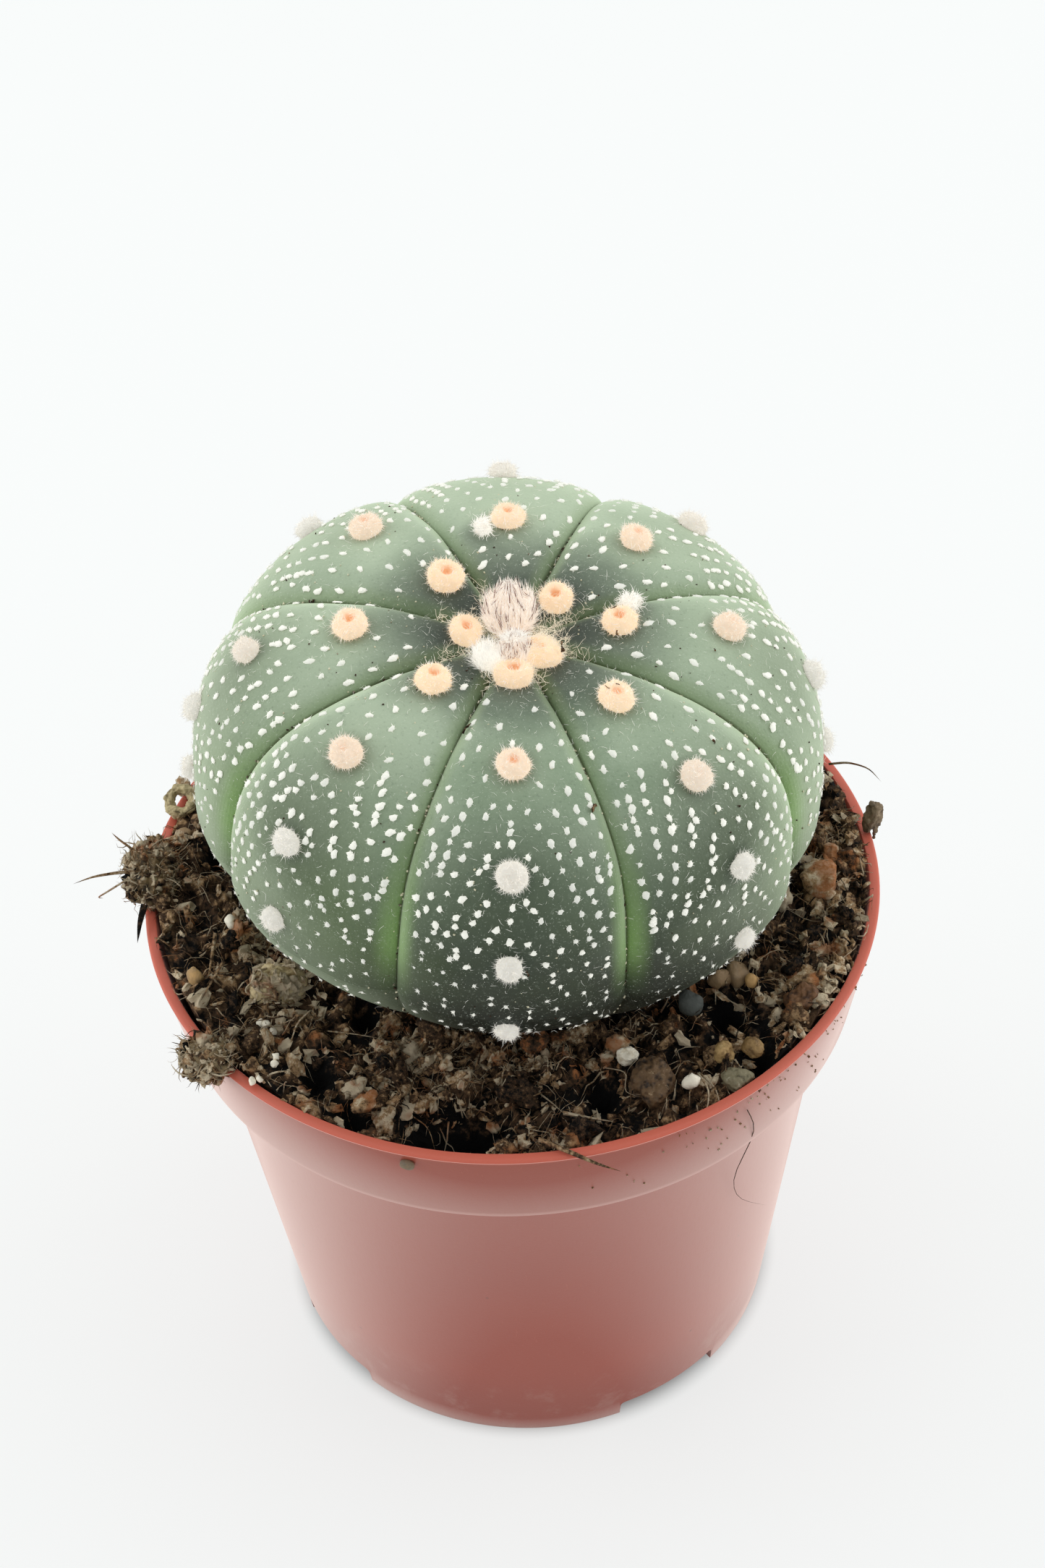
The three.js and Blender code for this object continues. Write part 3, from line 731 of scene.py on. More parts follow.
places += skin_axes(rib, along, across)[:, :, 2] * swell[:, None]
move_points(skin, places)
keep_mark(skin, "along", along)
keep_mark(skin, "off_groove", (1 - np.abs(across)) * half_rib(along))
keep_mark(skin, "off_cushion", off_cushions(places))
keep_mark(skin, "opening", opening)
keep_mark(skin, "off_crest", np.abs(across))
# The aside mark carries painted light and shade: 0 on the low front ribs, painted darkest, 1 on the side
# ribs, painted paler.
darkest_turn = math.radians(10)  # the low front ribs, and those a little to their right, are the darkest
turn_from_front = np.arctan2(places[:, 0] - plant_place[0], plant_place[1] - places[:, 1])
keep_mark(skin, "aside", rise(np.abs(turn_from_front - darkest_turn), 0.3, 0.95))
print("skin:", len(ring_along), "rings of", columns, "points")

# %% [markdown]
# The skin is matt and waxy and grey-green. Painted shade makes it nearly black in the crown and at the foot,
# darkens it round the cushions, down the lower crests and on the low front ribs, and painted light makes the
# side ribs paler. It is yellow-green where a valley is open, with a thin dark seam in the groove. A fine
# grain of pores and pale scurf breaks it up, and where it is seen along, a pale veil takes over: a painted
# sheen, partly a waxy film, held back in the crown and low on the ribs.

# %% Finish of the skin
look = Finish("grey_green_skin")
along_rib, off_groove, off_cushion = look.mark("along"), look.mark("off_groove"), look.mark("off_cushion")
patches = look.cloud(11, detail=4)
fine = look.cloud(0.5, detail=5, harsh=0.65)
pores = look.grains(0.42)
aside = look.mark("aside")
# Painted light and shade: the side ribs are painted paler, and the lower part of each rib darker, as the
# light falls from the sides and above.
top_green = look.mix(paint(129, 149, 121), paint(162, 179, 153), look.between(patches, 0.35, 0.7))
top_green = look.mix(top_green, paint(182, 198, 170), aside * 0.5)
low_green = look.mix(paint(25, 34, 15), paint(51, 65, 33), look.between(patches, 0.3, 0.7))
low_green = look.mix(low_green, paint(106, 128, 80), aside * 0.75)
lower = look.between(along_rib + (patches - 0.5) * 14, 20, 47)
green = look.mix(top_green, low_green, lower)
# Painted shade: a darker band down the crest of each rib's lower half, under the cushions.
painted_crest_shade = look.until(look.mark("off_crest"), 0.1, 0.85) * look.between(along_rib, 20, 36)
green = look.mix(green, paint(46, 56, 38), painted_crest_shade * 0.5)
# Painted shade: nearly black round the crown, and darkest in its hollow.
crown_shade = look.until(along_rib + (patches - 0.5) * 6, 7, 20)
green = look.mix(green, paint(30, 44, 36), crown_shade * 0.9)
deep = look.until(along_rib + (patches - 0.5) * 3, 4, 10)
green = look.mix(green, paint(14, 22, 16), deep * 0.6)
valley = look.mark("opening") * look.until(off_groove, 0.2, 2.9) * look.until(along_rib, 42, 55)
green = look.mix(green, paint(126, 162, 90), valley * 0.95)
beside = look.until(off_groove, 0.2, 1.8) * look.until(along_rib, 30, 46)
green = look.mix(green, paint(128, 150, 104), beside * 0.5)
# A thin darker line along the groove, fading out near the soil.
seam = look.until(off_groove, 0.0, 0.3) * look.until(along_rib, 54, 62)
green = look.mix(green, paint(70, 78, 34), seam * 0.75)
# Painted shade: the skin goes nearly black near the soil, less on the side ribs.
foot = look.between(along_rib + (patches - 0.5) * 4, 43, 53) * (1 - aside * 0.5)
green = look.mix(green, paint(12, 14, 8), foot * 0.8)
# Painted shadow round each cushion, strongest right beside it.
shade = look.until(off_cushion, -0.4, 1.7)
green = look.mix(green, paint(40, 54, 48), shade * 0.42)
green = look.mix(green, paint(190, 202, 182), look.between(fine, 0.56, 0.8) * 0.3)
green = look.mix(green, paint(58, 74, 58), look.between(fine, 0.46, 0.25) * 0.3)
scurf = look.between(look.cloud(0.2, detail=2), 0.64, 0.72)
green = look.mix(green, paint(206, 214, 198), scurf * 0.45)
bumps = fine * 0.6 + look.until(pores, 0.0, 0.6) * 0.4
# The pale veil is a painted sheen, partly a waxy film. As painted shade, it is held back in the crown and
# low on the ribs, most on the front ones.
wax_and_painted_sheen = 0.85 - crown_shade * 0.62
skin_finish = look.done(
    Base_Color=green,
    Roughness=look.between(patches, 0.2, 0.9) * 0.12 + 0.5,
    Normal=look.relief(bumps, 0.05),
    veil="ShaderNodeBsdfDiffuse",
    share=(look.slant() - 0.3) * (1 - look.between(along_rib, 34, 52) * (1 - aside * 0.7)) * wax_and_painted_sheen,
    veil_colour=(0.82, 0.95, 0.71, 1),
)
finish_piece(skin, skin_finish, "stem", "cactus_stem")

# %% [markdown]
# ## Felt cushions
#
# A cushion is a ball of short dense hairs. The core is modelled once young, as a ring with a dimple, and
# once old, as a round pad, from the same sphere, so that every age between can be blended. Then short
# hairs stand all over it. A fur made only by the material would be flat at the edge, where felt shows most.


# %% Cushion cores
def cushion_cores(dimple, width, waist):
    """A round pad 1 mm in radius: young, pressed in at the top, and old, whole. Both share their faces."""
    clear_selection()
    bpy.ops.mesh.primitive_uv_sphere_add(segments=26, ring_count=17, radius=MM, location=(0, 0, 0))
    core = named("cushion_core")
    with editing(core):
        bpy.ops.transform.resize(value=(1, 1, 0.75))
        bpy.ops.transform.translate(value=(0, 0, 0.3 * MM))
        pick_points(core, lambda place: place.z < -0.1)
        bpy.ops.transform.resize(value=(waist, waist, 1), center_override=(0, 0, 0))
    old = points_of(core)
    with editing(core):
        pick_points(core, lambda place: place.z > 1.04)
        bpy.ops.transform.translate(
            value=(0, 0, -dimple * MM),
            use_proportional_edit=True,
            proportional_edit_falloff="SMOOTH",
            proportional_size=width * MM,
        )
    young, faces = taken_apart(core)
    return young, old, faces


young_core, old_core, core_faces = cushion_cores(dimple=0.55, width=0.62, waist=0.82)
pressed_in = float(np.abs(young_core - old_core).max())
print("the dimple moves a core's points by up to", round(pressed_in, 2), "mm")
rng = np.random.default_rng(11)
cores, core_age, core_dimple = [], [], []
for at, axes, radius, age in zip(cushion_at, cushion_axes, cushion_radius, cushion_age):
    youth = (1 - age) * (1 - 0.35 * rng.random())
    core = young_core * youth + old_core * (1 - youth)
    reach = np.hypot(core[:, 0], core[:, 1])
    core_dimple.append(youth * np.exp(-((reach / 0.3) ** 2)) * (core[:, 2] > 0))
    stretch = radius * np.array([1 + 0.06 * rng.normal(), 1 + 0.06 * rng.normal(), 1])
    stretch[0] *= 1.3 if len(cores) == drawn_out else 1
    cores.append((core * stretch) @ axes.T + at)
    core_age.append(np.full(len(core), age))
core_places = np.concatenate(cores)
all_faces = np.concatenate([core_faces + len(young_core) * turn for turn in range(len(cores))])
middles = np.repeat(cushion_at, len(young_core), axis=0)
core_places += unit(core_places - middles) * (0.18 * fractal(core_places, 1.0, 3))[:, None]
marks = {
    "age": np.concatenate(core_age),
    "dimple": np.concatenate(core_dimple),
    "tint": np.zeros(len(core_places)),
}
cushions = new_mesh("cushions", core_places, all_faces, **marks)
print(len(cores), "cushion cores of", len(core_faces), "triangles each")

# %% [markdown]
# Felt and wool let light through, so a share of their surface is translucent. Light also goes to and fro
# between real hairs far more often than it is followed here, so all wool gets a little light of its own.

# %% Finish of the felt
wool_glow = 0.3
shines_through = "ShaderNodeBsdfTranslucent", 0.36


def woolly(look, colour, roughness=0.9, light=None, strength=1.0, **more):
    """Finishes a material of hair. Its own light has its colour, unless another is given."""
    return look.done(
        *shines_through,
        Base_Color=colour,
        Roughness=roughness,
        Emission_Color=light or colour,
        Emission_Strength=wool_glow * strength,
        **more,
    )


def felt_finish(name):
    """Apricot with an orange dimple when young, pinkish beige, then white when old. The tint is 0 down in
    the felt and up to 1 on the palest hairs."""
    look = Finish(name)
    age, dimple, tint = look.mark("age"), look.mark("dimple"), look.mark("tint")
    fleck = look.cloud(0.6, detail=4, harsh=0.75)
    colour = look.mix(paint(255, 243, 218), paint(255, 240, 224), look.between(age, 0.1, 0.5))
    colour = look.mix(colour, paint(252, 251, 247), look.between(age, 0.6, 1.0))
    within = look.mix(paint(252, 214, 174), paint(232, 204, 176), look.between(age, 0.1, 0.5))
    within = look.mix(within, paint(212, 208, 198), look.between(age, 0.65, 1.0))
    colour = look.mix(colour, within, (1 - tint) * 0.6)
    colour = look.mix(colour, within, look.between(fleck, 0.5, 0.34) * 0.5)
    colour = look.mix(colour, paint(255, 252, 244), tint * tint * 0.85)
    colour = look.mix(colour, paint(236, 146, 74), look.between(dimple, 0.06, 0.62) * 0.85)
    glow = look.mix(colour, paint(196, 190, 182), look.between(age, 0.3, 0.95) * 0.4)
    return woolly(look, colour, light=glow, strength=1.3, Normal=look.relief(fleck, 0.06))


felt = felt_finish("felt")
finish_piece(cushions, felt, "stem")

# %% [markdown]
# A felt hair is under a millimetre long and stands nearly straight out, shorter in the dimple. It takes the
# marks of the core's point at its foot, so that it has the colour of its place. A few longer hairs stray.

# %% Felt hairs
felt_hairs = 30000
spots, outs, nearest = scatter(rng, cushions, felt_hairs)
lengths = rng.uniform(0.3, 0.86, felt_hairs) * (1 - 0.75 * marks["dimple"][nearest])
lines = wandering(rng, spots - 0.08 * outs, outs + 0.85 * rng.normal(size=outs.shape), lengths, 2, 0)
hair_marks = {mark: values[nearest] for mark, values in marks.items()}
hair_marks["tint"] = rng.random(felt_hairs)
felt_coat = strands("felt_hairs", lines, rng.uniform(0.04, 0.08, felt_hairs), **hair_marks)
finish_piece(felt_coat, felt, "stem")
stray_count = 3000
stray = rng.choice(felt_hairs, stray_count, replace=False)
starts = outs[stray] + 0.7 * rng.normal(size=(stray_count, 3))
lines = wandering(rng, spots[stray], starts, 0.5 + 0.9 * rng.random(stray_count) ** 2, 3, 0.4)
pale = {"age": np.full(stray_count, 0.9), "dimple": np.zeros(stray_count), "tint": np.ones(stray_count)}
stray_hairs = strands("stray_hairs", lines, rng.uniform(0.04, 0.065, stray_count), **pale)
finish_piece(stray_hairs, felt, "stem")

# %% [markdown]
# ## White flecks
#
# The skin is sown with tufts of wool under a millimetre wide. They stand in chains that run from the crest
# down and outward to the groove, closer together on the lower half, with one more row beside each groove.
# They are laid out by that rule with seeded chances, and dropped where they would touch a cushion, another
# fleck or an open valley. Four ragged shapes are modelled once and copied.

# %% Ragged fleck shapes
def fleck_shape(seed):
    """A low ragged cap 1 mm wide, sunk a little below the skin."""
    clear_selection()
    bpy.ops.mesh.primitive_circle_add(
        vertices=8, radius=0.5 * MM, fill_type="NGON", location=(0, 0, -0.1 * MM))
    cap = named("fleck")
    with editing(cap):
        bpy.ops.transform.vertex_random(offset=0.22 * MM, uniform=0.3, seed=seed)
        bpy.ops.transform.resize(value=(1, 1, 0.1), center_override=(0, 0, -0.1 * MM))
        up = {"value": (0, 0, 0.14 * MM)}
        bpy.ops.mesh.extrude_region_move(TRANSFORM_OT_translate=up)
        bpy.ops.transform.resize(value=(0.8, 0.8, 1), center_override=(0, 0, 0))
        bpy.ops.mesh.poke(offset=0.05 * MM)
        bpy.ops.mesh.select_all(action="SELECT")
        bpy.ops.mesh.normals_make_consistent(inside=False)
    return taken_apart(cap)


fleck_shapes = [fleck_shape(seed) for seed in (3, 8, 14, 21)]
print("a fleck has", len(fleck_shapes[0][1]), "triangles")

# %% [markdown]
# The rule for their places draws three sorts of chains: one down the crest, many that set off from the crest
# and bend towards the groove, and one beside each groove. Twins grow close to a few of them lower down.

# %% Lay out the flecks
rng = np.random.default_rng(5)
first_fleck, last_fleck = 10, 55  # ways along a rib, in mm
crest_step, chain_step, edge_step = (1.2, 2.6), (1.2, 2.35), (1.7, 2.9)
chain_head_start, chain_spacing = 14, 4.6


def chains():
    """Rib, way along and mm across of each place where a fleck may grow, chain by chain."""
    for rib in range(ribs):
        way = first_fleck
        while way < last_fleck:
            way += rng.uniform(*crest_step)
            yield rib, way, rng.normal(0, 0.2)
        for side in (-1, 1):
            first_start = first_fleck - chain_head_start
            for start in np.arange(first_start, last_fleck, chain_spacing) + rng.uniform(-0.7, 0.7):
                wide, way = 0.5, start
                while wide < half_rib(way) - 0.9 and way < last_fleck:
                    slope = 1.15 + 1.6 * float(rise(wide, 0, 9))
                    step = rng.uniform(*chain_step)
                    wide += step / math.hypot(1, slope)
                    way += step * slope / math.hypot(1, slope)
                    yield rib, way, side * (wide + rng.normal(0, 0.09))
        for side in (-1, 1):
            way = first_fleck + 2 * rng.random()
            while way < last_fleck:
                back = 1.5 + 1.6 * float(rise(way, 30, 46)) + rng.uniform(-0.25, 0.25)
                yield rib, way, side * (half_rib(way) - back)
                way += rng.uniform(*edge_step)


candidates = np.array([spot for spot in chains() if spot[1] > first_fleck])
rng.shuffle(candidates)
fleck_rib = candidates[:, 0].astype(int)
fleck_along = candidates[:, 1]
fleck_across = np.clip(candidates[:, 2] / half_rib(fleck_along), -0.98, 0.98)
fleck_at = on_skin(fleck_rib, fleck_along, fleck_across)
_, fleck_opening = press(fleck_along, fleck_across)
margin = half_rib(fleck_along) - np.abs(candidates[:, 2])
free = (off_cushions(fleck_at) > 0.75) & (margin > 0.8 + 1.7 * fleck_opening)
kept = []
closest = np.where(fleck_along < 24, 1.9, 1.1 + 0.7 * rise(fleck_along, 36, 52))
for number in np.flatnonzero(free & (rng.random(len(free)) < 0.94 - 0.3 * rise(fleck_along, 44, 56))):
    if not kept or np.linalg.norm(fleck_at[kept] - fleck_at[number], axis=1).min() > closest[number]:
        kept.append(number)
twins = [number for number in kept if fleck_along[number] > 24 and rng.random() < 0.16]
kept = np.array(kept + twins)
fleck_rib, fleck_along, fleck_across = fleck_rib[kept], fleck_along[kept], fleck_across[kept]
is_twin = np.arange(len(kept)) >= len(kept) - len(twins)
fleck_along = fleck_along + is_twin * rng.uniform(0.85, 1.1, len(kept))
fleck_at = on_skin(fleck_rib, fleck_along, fleck_across)
fleck_axes = skin_axes(fleck_rib, fleck_along, fleck_across)
low_down = rise(fleck_along, 16, 36)
width = (rng.uniform(0.52, 0.86, len(kept)) + 0.06 * low_down) * (1 - 0.55 * rise(fleck_along, 36, 54))
length = width * rng.uniform(0.9, 1.25, len(kept)) + 0.3 * (1 - low_down)
turn = rng.normal(0, 0.35, len(kept))
print(len(kept), "flecks")

# %% [markdown]
# Each fleck lies along its rib, turned a little to either side. Short hairs spread from its rim, so that its
# edge is as frayed as on the real plant.

# %% Grow the flecks
down, side, out = (fleck_axes[:, :, column] for column in range(3))
lie_down = down * np.cos(turn)[:, None] + side * np.sin(turn)[:, None]
lie_side = np.cross(out, lie_down)
fleck_frames = np.stack([lie_down, lie_side, out], axis=-1)
fleck_sizes = np.stack([length, width, np.ones(len(kept))], axis=-1)
picks = rng.integers(0, len(fleck_shapes), len(kept))
ages = rng.random(len(kept))
flecks = copies("flecks", fleck_shapes, picks, fleck_at, fleck_frames, fleck_sizes, age=ages)

look = Finish("white_fleck_wool")
fuzz = look.cloud(0.2, detail=3, harsh=0.7)
white = look.mix(paint(238, 238, 228), paint(255, 255, 250), fuzz)
fleck_wool = woolly(look, white, roughness=0.95, Normal=look.relief(fuzz, 0.05))
finish_piece(flecks, fleck_wool, "stem")

hairs_each = 7
count = hairs_each * len(kept)
owner = np.repeat(np.arange(len(kept)), hairs_each)
spread = rng.uniform(-0.32, 0.32, (count, 2))
roots = fleck_at[owner] + lie_down[owner] * (spread[:, :1] * length[owner, None])
roots = roots + lie_side[owner] * (spread[:, 1:] * width[owner, None]) + out[owner] * 0.05
away = lie_down[owner] * spread[:, :1] + lie_side[owner] * spread[:, 1:]
starts = unit(away) + 0.35 * rng.normal(size=(count, 3)) + 0.3 * out[owner]
lines = wandering(rng, roots, starts, rng.uniform(0.24, 0.52, count), 2, 0)
fringe = strands("fleck_hairs", lines, rng.uniform(0.07, 0.13, count))
finish_piece(fringe, fleck_wool, "stem")

# %% [markdown]
# ## Fine hairs and dust on the skin
#
# Between the flecks lie stray hairs, thinner than a tenth of a millimetre, and specks of peat and dust.
# They are thickest near the crown and just below each cushion.

# %% Stray hairs
hair_count, near_cushions = 2600, 1300
rib = rng.integers(0, ribs, hair_count)
along = 9 + 52 * rng.random(hair_count) ** 1.5
across = rng.uniform(-0.97, 0.97, hair_count)
host = rng.integers(0, len(cushion_along), near_cushions)
rib[:near_cushions] = cushion_rib[host]
along[:near_cushions] = cushion_along[host] + rng.normal(1.6, 2.2, near_cushions)
across[:near_cushions] = rng.normal(0, 2.4, near_cushions) / half_rib(cushion_along[host])
along, across = np.clip(along, 4, 64), np.clip(across, -0.97, 0.97)
at, axes = on_skin(rib, along, across), skin_axes(rib, along, across)
flat_turn = rng.uniform(0, 2 * math.pi, hair_count)
starts = axes[:, :, 0] * np.cos(flat_turn)[:, None] + axes[:, :, 1] * np.sin(flat_turn)[:, None]
lines = wandering(rng, at + 0.05 * axes[:, :, 2], starts + 0.3 * axes[:, :, 2],
                  rng.uniform(0.3, 1.1, hair_count), 3, 0.45)
skin_hairs = strands("skin_hairs", lines, rng.uniform(0.025, 0.05, hair_count))
finish_piece(skin_hairs, fleck_wool, "stem")


# %% [markdown]
# Peat, bark and dust break into angular bits. A crumb is a cube whose corners are shaken, and all but the
# finest are first cut once more and drawn a little towards a ball. A few of them, copied at every size and
# turn, serve for the dust here and for the soil, the bark and the pebbles later.

# %% Crumb shapes and dust
def crumb_shape(seed, cuts=1, rough=0.36, round_off=0.3):
    """An angular crumb about 1 mm in half size, from a cube."""
    clear_selection()
    bpy.ops.mesh.primitive_cube_add(size=1.5 * MM)
    crumb = named("crumb")
    with editing(crumb):
        if cuts:
            bpy.ops.mesh.subdivide(number_cuts=cuts)
            bpy.ops.transform.tosphere(value=round_off)
        bpy.ops.transform.vertex_random(offset=rough * MM, uniform=1, seed=seed)
        bpy.ops.mesh.quads_convert_to_tris()
    return taken_apart(crumb)


crumb_shapes = [crumb_shape(seed) for seed in range(8)]
speck_shapes = [crumb_shape(seed, cuts=0) for seed in range(8)]
speck_count = 900
rib = rng.integers(0, ribs, speck_count)
along = rng.uniform(5, 64, speck_count)
in_groove = rng.random(speck_count) < 0.35
across = np.where(in_groove, 1 - 0.02 * rng.random(speck_count), rng.uniform(-0.97, 0.97, speck_count))
at = on_skin(rib, along, across)
speck_sizes = rng.uniform(0.05, 0.13, (speck_count, 3)) * np.where(in_groove, 1.5, 1)[:, None]
picks = rng.integers(0, len(speck_shapes), speck_count)
speck_frames = any_axes(rng, speck_count)
shades = rng.random(speck_count) + 0.12 * in_groove
specks = copies("dust_specks", speck_shapes, picks, at, speck_frames, speck_sizes, shade=shades)
look = Finish("dust")
shade = look.mark("shade")
tone = look.mix(paint(60, 40, 24), paint(226, 220, 190), look.between(shade, 0.3, 0.5))
finish_piece(specks, look.done(Base_Color=tone, Roughness=0.9), "stem")

# %% [markdown]
# ## Crown wool and loose tufts
#
# New ribs push up through a mat of cream wool at the crown, and three old tufts have come loose and lie
# between the cushions. Wool is long, curled and soft: each hair wanders off its first direction.


# %% Wool
def wool_finish(name, colour):
    """Wool of one colour, with beige patches in it."""
    look = Finish(name)
    tone = look.mix(colour, paint(236, 220, 196), look.between(look.cloud(0.8), 0.5, 0.75) * 0.3)
    return woolly(look, tone)


cream_wool = wool_finish("cream_wool", paint(252, 242, 222))
white_wool = wool_finish("white_wool", paint(255, 253, 248))
rng = np.random.default_rng(23)
mat_count = 1100
rib = rng.integers(0, ribs, mat_count)
along = 0.5 + 6 * rng.random(mat_count) ** 0.8
in_groove = rng.random(mat_count) < 0.45
across = np.where(in_groove, rng.choice([-1, 1], mat_count) * rng.uniform(0.75, 1, mat_count),
                  rng.uniform(-1, 1, mat_count))
along = np.where(in_groove, along * 1.35, along)
at, axes = on_skin(rib, along, across), skin_axes(rib, along, across)
starts = axes[:, :, 2] * 0.7 + rng.normal(size=(mat_count, 3))
lines = wandering(rng, at, starts, rng.uniform(0.9, 2.8, mat_count), 5, 0.5)
mat = strands("crown_wool", lines, rng.uniform(0.04, 0.08, mat_count))
finish_piece(mat, cream_wool, "stem")

wisp_count = 240
wisp_root = cushion_at[drawn_out] + 1.3 * cushion_axes[drawn_out][:, 2]
starts = cushion_axes[drawn_out] @ np.array([1, 0.45, 0]) + 0.4 * rng.normal(size=(wisp_count, 3))
lines = wandering(rng, wisp_root + 0.8 * rng.normal(size=(wisp_count, 3)), starts,
                  rng.uniform(1.2, 4, wisp_count), 6, 0.3)
finish_piece(strands("wisps", lines, rng.uniform(0.04, 0.08, wisp_count)), cream_wool, "stem")

tuft_hairs = 480
owner = np.repeat(np.arange(len(tuft_at)), tuft_hairs)
inside = unit(rng.normal(size=(len(owner), 3))) * rng.random((len(owner), 1)) ** 0.4
inside *= tuft_radius[owner, None] * np.array([0.6, 0.6, 0.5])
roots = tuft_at[owner] + np.einsum("nij,nj->ni", tuft_axes[owner], inside + np.array([0, 0, 0.7]))
lengths = rng.uniform(0.7, 1.7, len(owner))
lines = wandering(rng, roots, inside + 0.5 * rng.normal(size=inside.shape), lengths, 5, 0.45)
tufts = strands("loose_tufts", lines, rng.uniform(0.06, 0.11, len(owner)))
finish_piece(tufts, white_wool, "stem")

# %% [markdown]
# ## Buds
#
# Two buds stand in the crown wool, and a ball of white silk lies beside them. Each is an egg wrapped in
# hairs that lie along it and meet at its tip: grey-white ones, with thin reddish brown ones among them on
# the buds. The egg is shaped from a sphere, and the hairs follow its surface.


# %% Buds
def hairy_look(name, pale, dark):
    """Pale hairs, with those that are marked over 0.5 dark."""
    look = Finish(name)
    tone = look.mix(pale, dark, look.between(look.mark("shade"), 0.45, 0.75))
    return woolly(look, tone, roughness=0.8)


def wrapped_egg(name, place, radius, height, lean, hairs, dark, under, over, slot, *nodes):
    """An egg with hairs that lie along it to its tip, a share of them dark, and shorter ones that stand
    off it."""
    clear_selection()
    bpy.ops.mesh.primitive_uv_sphere_add(segments=32, ring_count=16, radius=1, location=(0, 0, 0))
    egg = named(name)
    with editing(egg):
        bpy.ops.transform.resize(value=(radius * 0.86 * MM, radius * 0.86 * MM, height * 0.46 * MM))
        bpy.ops.transform.translate(value=(0, 0, height * 0.46 * MM))
        pick_points(egg, lambda spot: spot.z > height * 0.7)
        bpy.ops.transform.resize(value=(0.72, 0.72, 1.05))
    axis = np.array(Matrix.Rotation(math.radians(lean), 3, "X"))
    local = points_of(egg)
    local *= 1 + 0.05 * fractal(local, 0.9, 2)[:, None] * np.array([1, 1, 0])
    move_points(egg, local @ axis.T + np.array(place))
    finish_piece(egg, under, slot, *nodes)
    upward = axis[:, 2]
    spots, outs, _ = scatter(rng, egg, hairs)
    up_the_egg = upward - (outs @ upward)[:, None] * outs
    starts = unit(up_the_egg) + 0.14 * outs + 0.1 * rng.normal(size=outs.shape)
    room = np.clip(1.15 * height - (spots - np.array(place)) @ upward, 0.4, 2.6)
    lengths = np.minimum(rng.uniform(1, 2.4, hairs), room)
    lines = wandering(rng, spots + 0.06 * outs, starts, lengths, 4, 0.1)
    is_dark = rng.random(hairs) < dark
    width = np.where(is_dark, rng.uniform(0.08, 0.14, hairs), rng.uniform(0.05, 0.1, hairs))
    shade = np.where(is_dark, rng.uniform(0.6, 1, hairs), rng.uniform(0, 0.4, hairs))
    finish_piece(strands(f"{name}_hairs", lines, width, shade=shade), over, slot)
    short = hairs // 2
    spots, outs, _ = scatter(rng, egg, short)
    starts = outs * 0.8 + 0.7 * rng.normal(size=outs.shape)
    lines = wandering(rng, spots, starts, rng.uniform(0.4, 1, short), 3, 0.5)
    halo = strands(f"{name}_wool", lines, rng.uniform(0.035, 0.07, short), shade=np.zeros(short))
    finish_piece(halo, over, slot)


bud_under = wool_finish("bud_under", paint(236, 220, 206))
bud_over = hairy_look("bud_over", paint(255, 247, 238), paint(104, 36, 24))
bud_looks = bud_under, bud_over, "bud"
small_bud, small_lean, cap_height = (1.7, -2.3, 101.2), 8, 4.3
wrapped_egg("bud_large", (1.4, 2.7, 101.2), 3.1, 6.6, -5, 1500, 0.13, *bud_looks, "flower_bud_large")
wrapped_egg("bud_small", small_bud, 1.65, 4.6, small_lean, 800, 0.18, *bud_looks, "flower_bud_small")
silk_at = tuft_at[0] - 0.3 * tuft_axes[0][:, 2]
wrapped_egg("silk_ball", tuple(silk_at), 1.5, 3.1, 6, 900, 0, white_wool, white_wool, "stem")
cap_count = 260
leaned_over = math.sin(math.radians(small_lean)) * cap_height
cap_root = np.array(small_bud) + np.array((0, -leaned_over, cap_height))
flat = rng.normal(size=(cap_count, 3)) * np.array([0.5, 0.3, 0.1])
starts = flat + np.array([0, 0, 0.25])
lines = wandering(rng, cap_root + flat, starts, rng.uniform(0.5, 1.2, cap_count), 4, 0.4)
finish_piece(strands("bud_cap", lines, rng.uniform(0.05, 0.09, cap_count)), white_wool, "bud")

# %% [markdown]
# ## Pot
#
# The pot is moulded from thin plastic, so it is turned from the outline of its wall: foot ring, raised
# floor, body, collar with a step, and a thin lip. The notches in the foot and the drain holes are cut with
# booleans, as a mould's inserts would leave them, and the edges get a fine bevel, because no moulded edge
# is sharp.

# %% Turn the pot
rim_radius, pot_height, foot_radius, pot_wall = 42.5, 66.3, 30, 1.3
collar_step, collar_radius, body_top_radius = 54.2, 40.1, 37.2
rim_edge, inner_step_drop, inner_step_rise = 0.3, 0.3, 1.4
floor_height, floor_thickness = 3, 1.4
drain_radius, drain_distance = 3.5, 21.6
notches, notch_centre, notch_width, notch_height = 4, math.radians(-57.5), math.radians(27), 2.4
floor_top = floor_height + floor_thickness
floor_radius = foot_radius + (body_top_radius - foot_radius) * floor_top / collar_step - pot_wall
inner_wall = [
    (floor_radius, floor_top),
    (body_top_radius - pot_wall, collar_step - inner_step_drop),
    (collar_radius - pot_wall, collar_step + inner_step_rise),
    (rim_radius - pot_wall, pot_height),
]
notch_ring = notch_height + 0.8  # keeps the cuts of the notches out of the tall faces above them
notch_ring_radius = foot_radius + (body_top_radius - foot_radius) * notch_ring / collar_step
wall_outline = [
    (foot_radius, 0),
    (notch_ring_radius, notch_ring),
    (body_top_radius, collar_step),
    (collar_radius, collar_step),
    (rim_radius - rim_edge, pot_height - 2 * rim_edge),
    (rim_radius, pot_height - rim_edge),
    (rim_radius - rim_edge, pot_height),
    *reversed(inner_wall),
    (drain_radius, floor_top),
    (drain_radius, floor_height),
    (foot_radius - pot_wall, floor_height),
    (foot_radius - pot_wall, 0),
    (foot_radius, 0),
]
pot = spun("pot_wall", wall_outline, 192)
modify(pot, "BEVEL", width=0.18 * MM, segments=2, limit_method="ANGLE", angle_limit=math.radians(35))


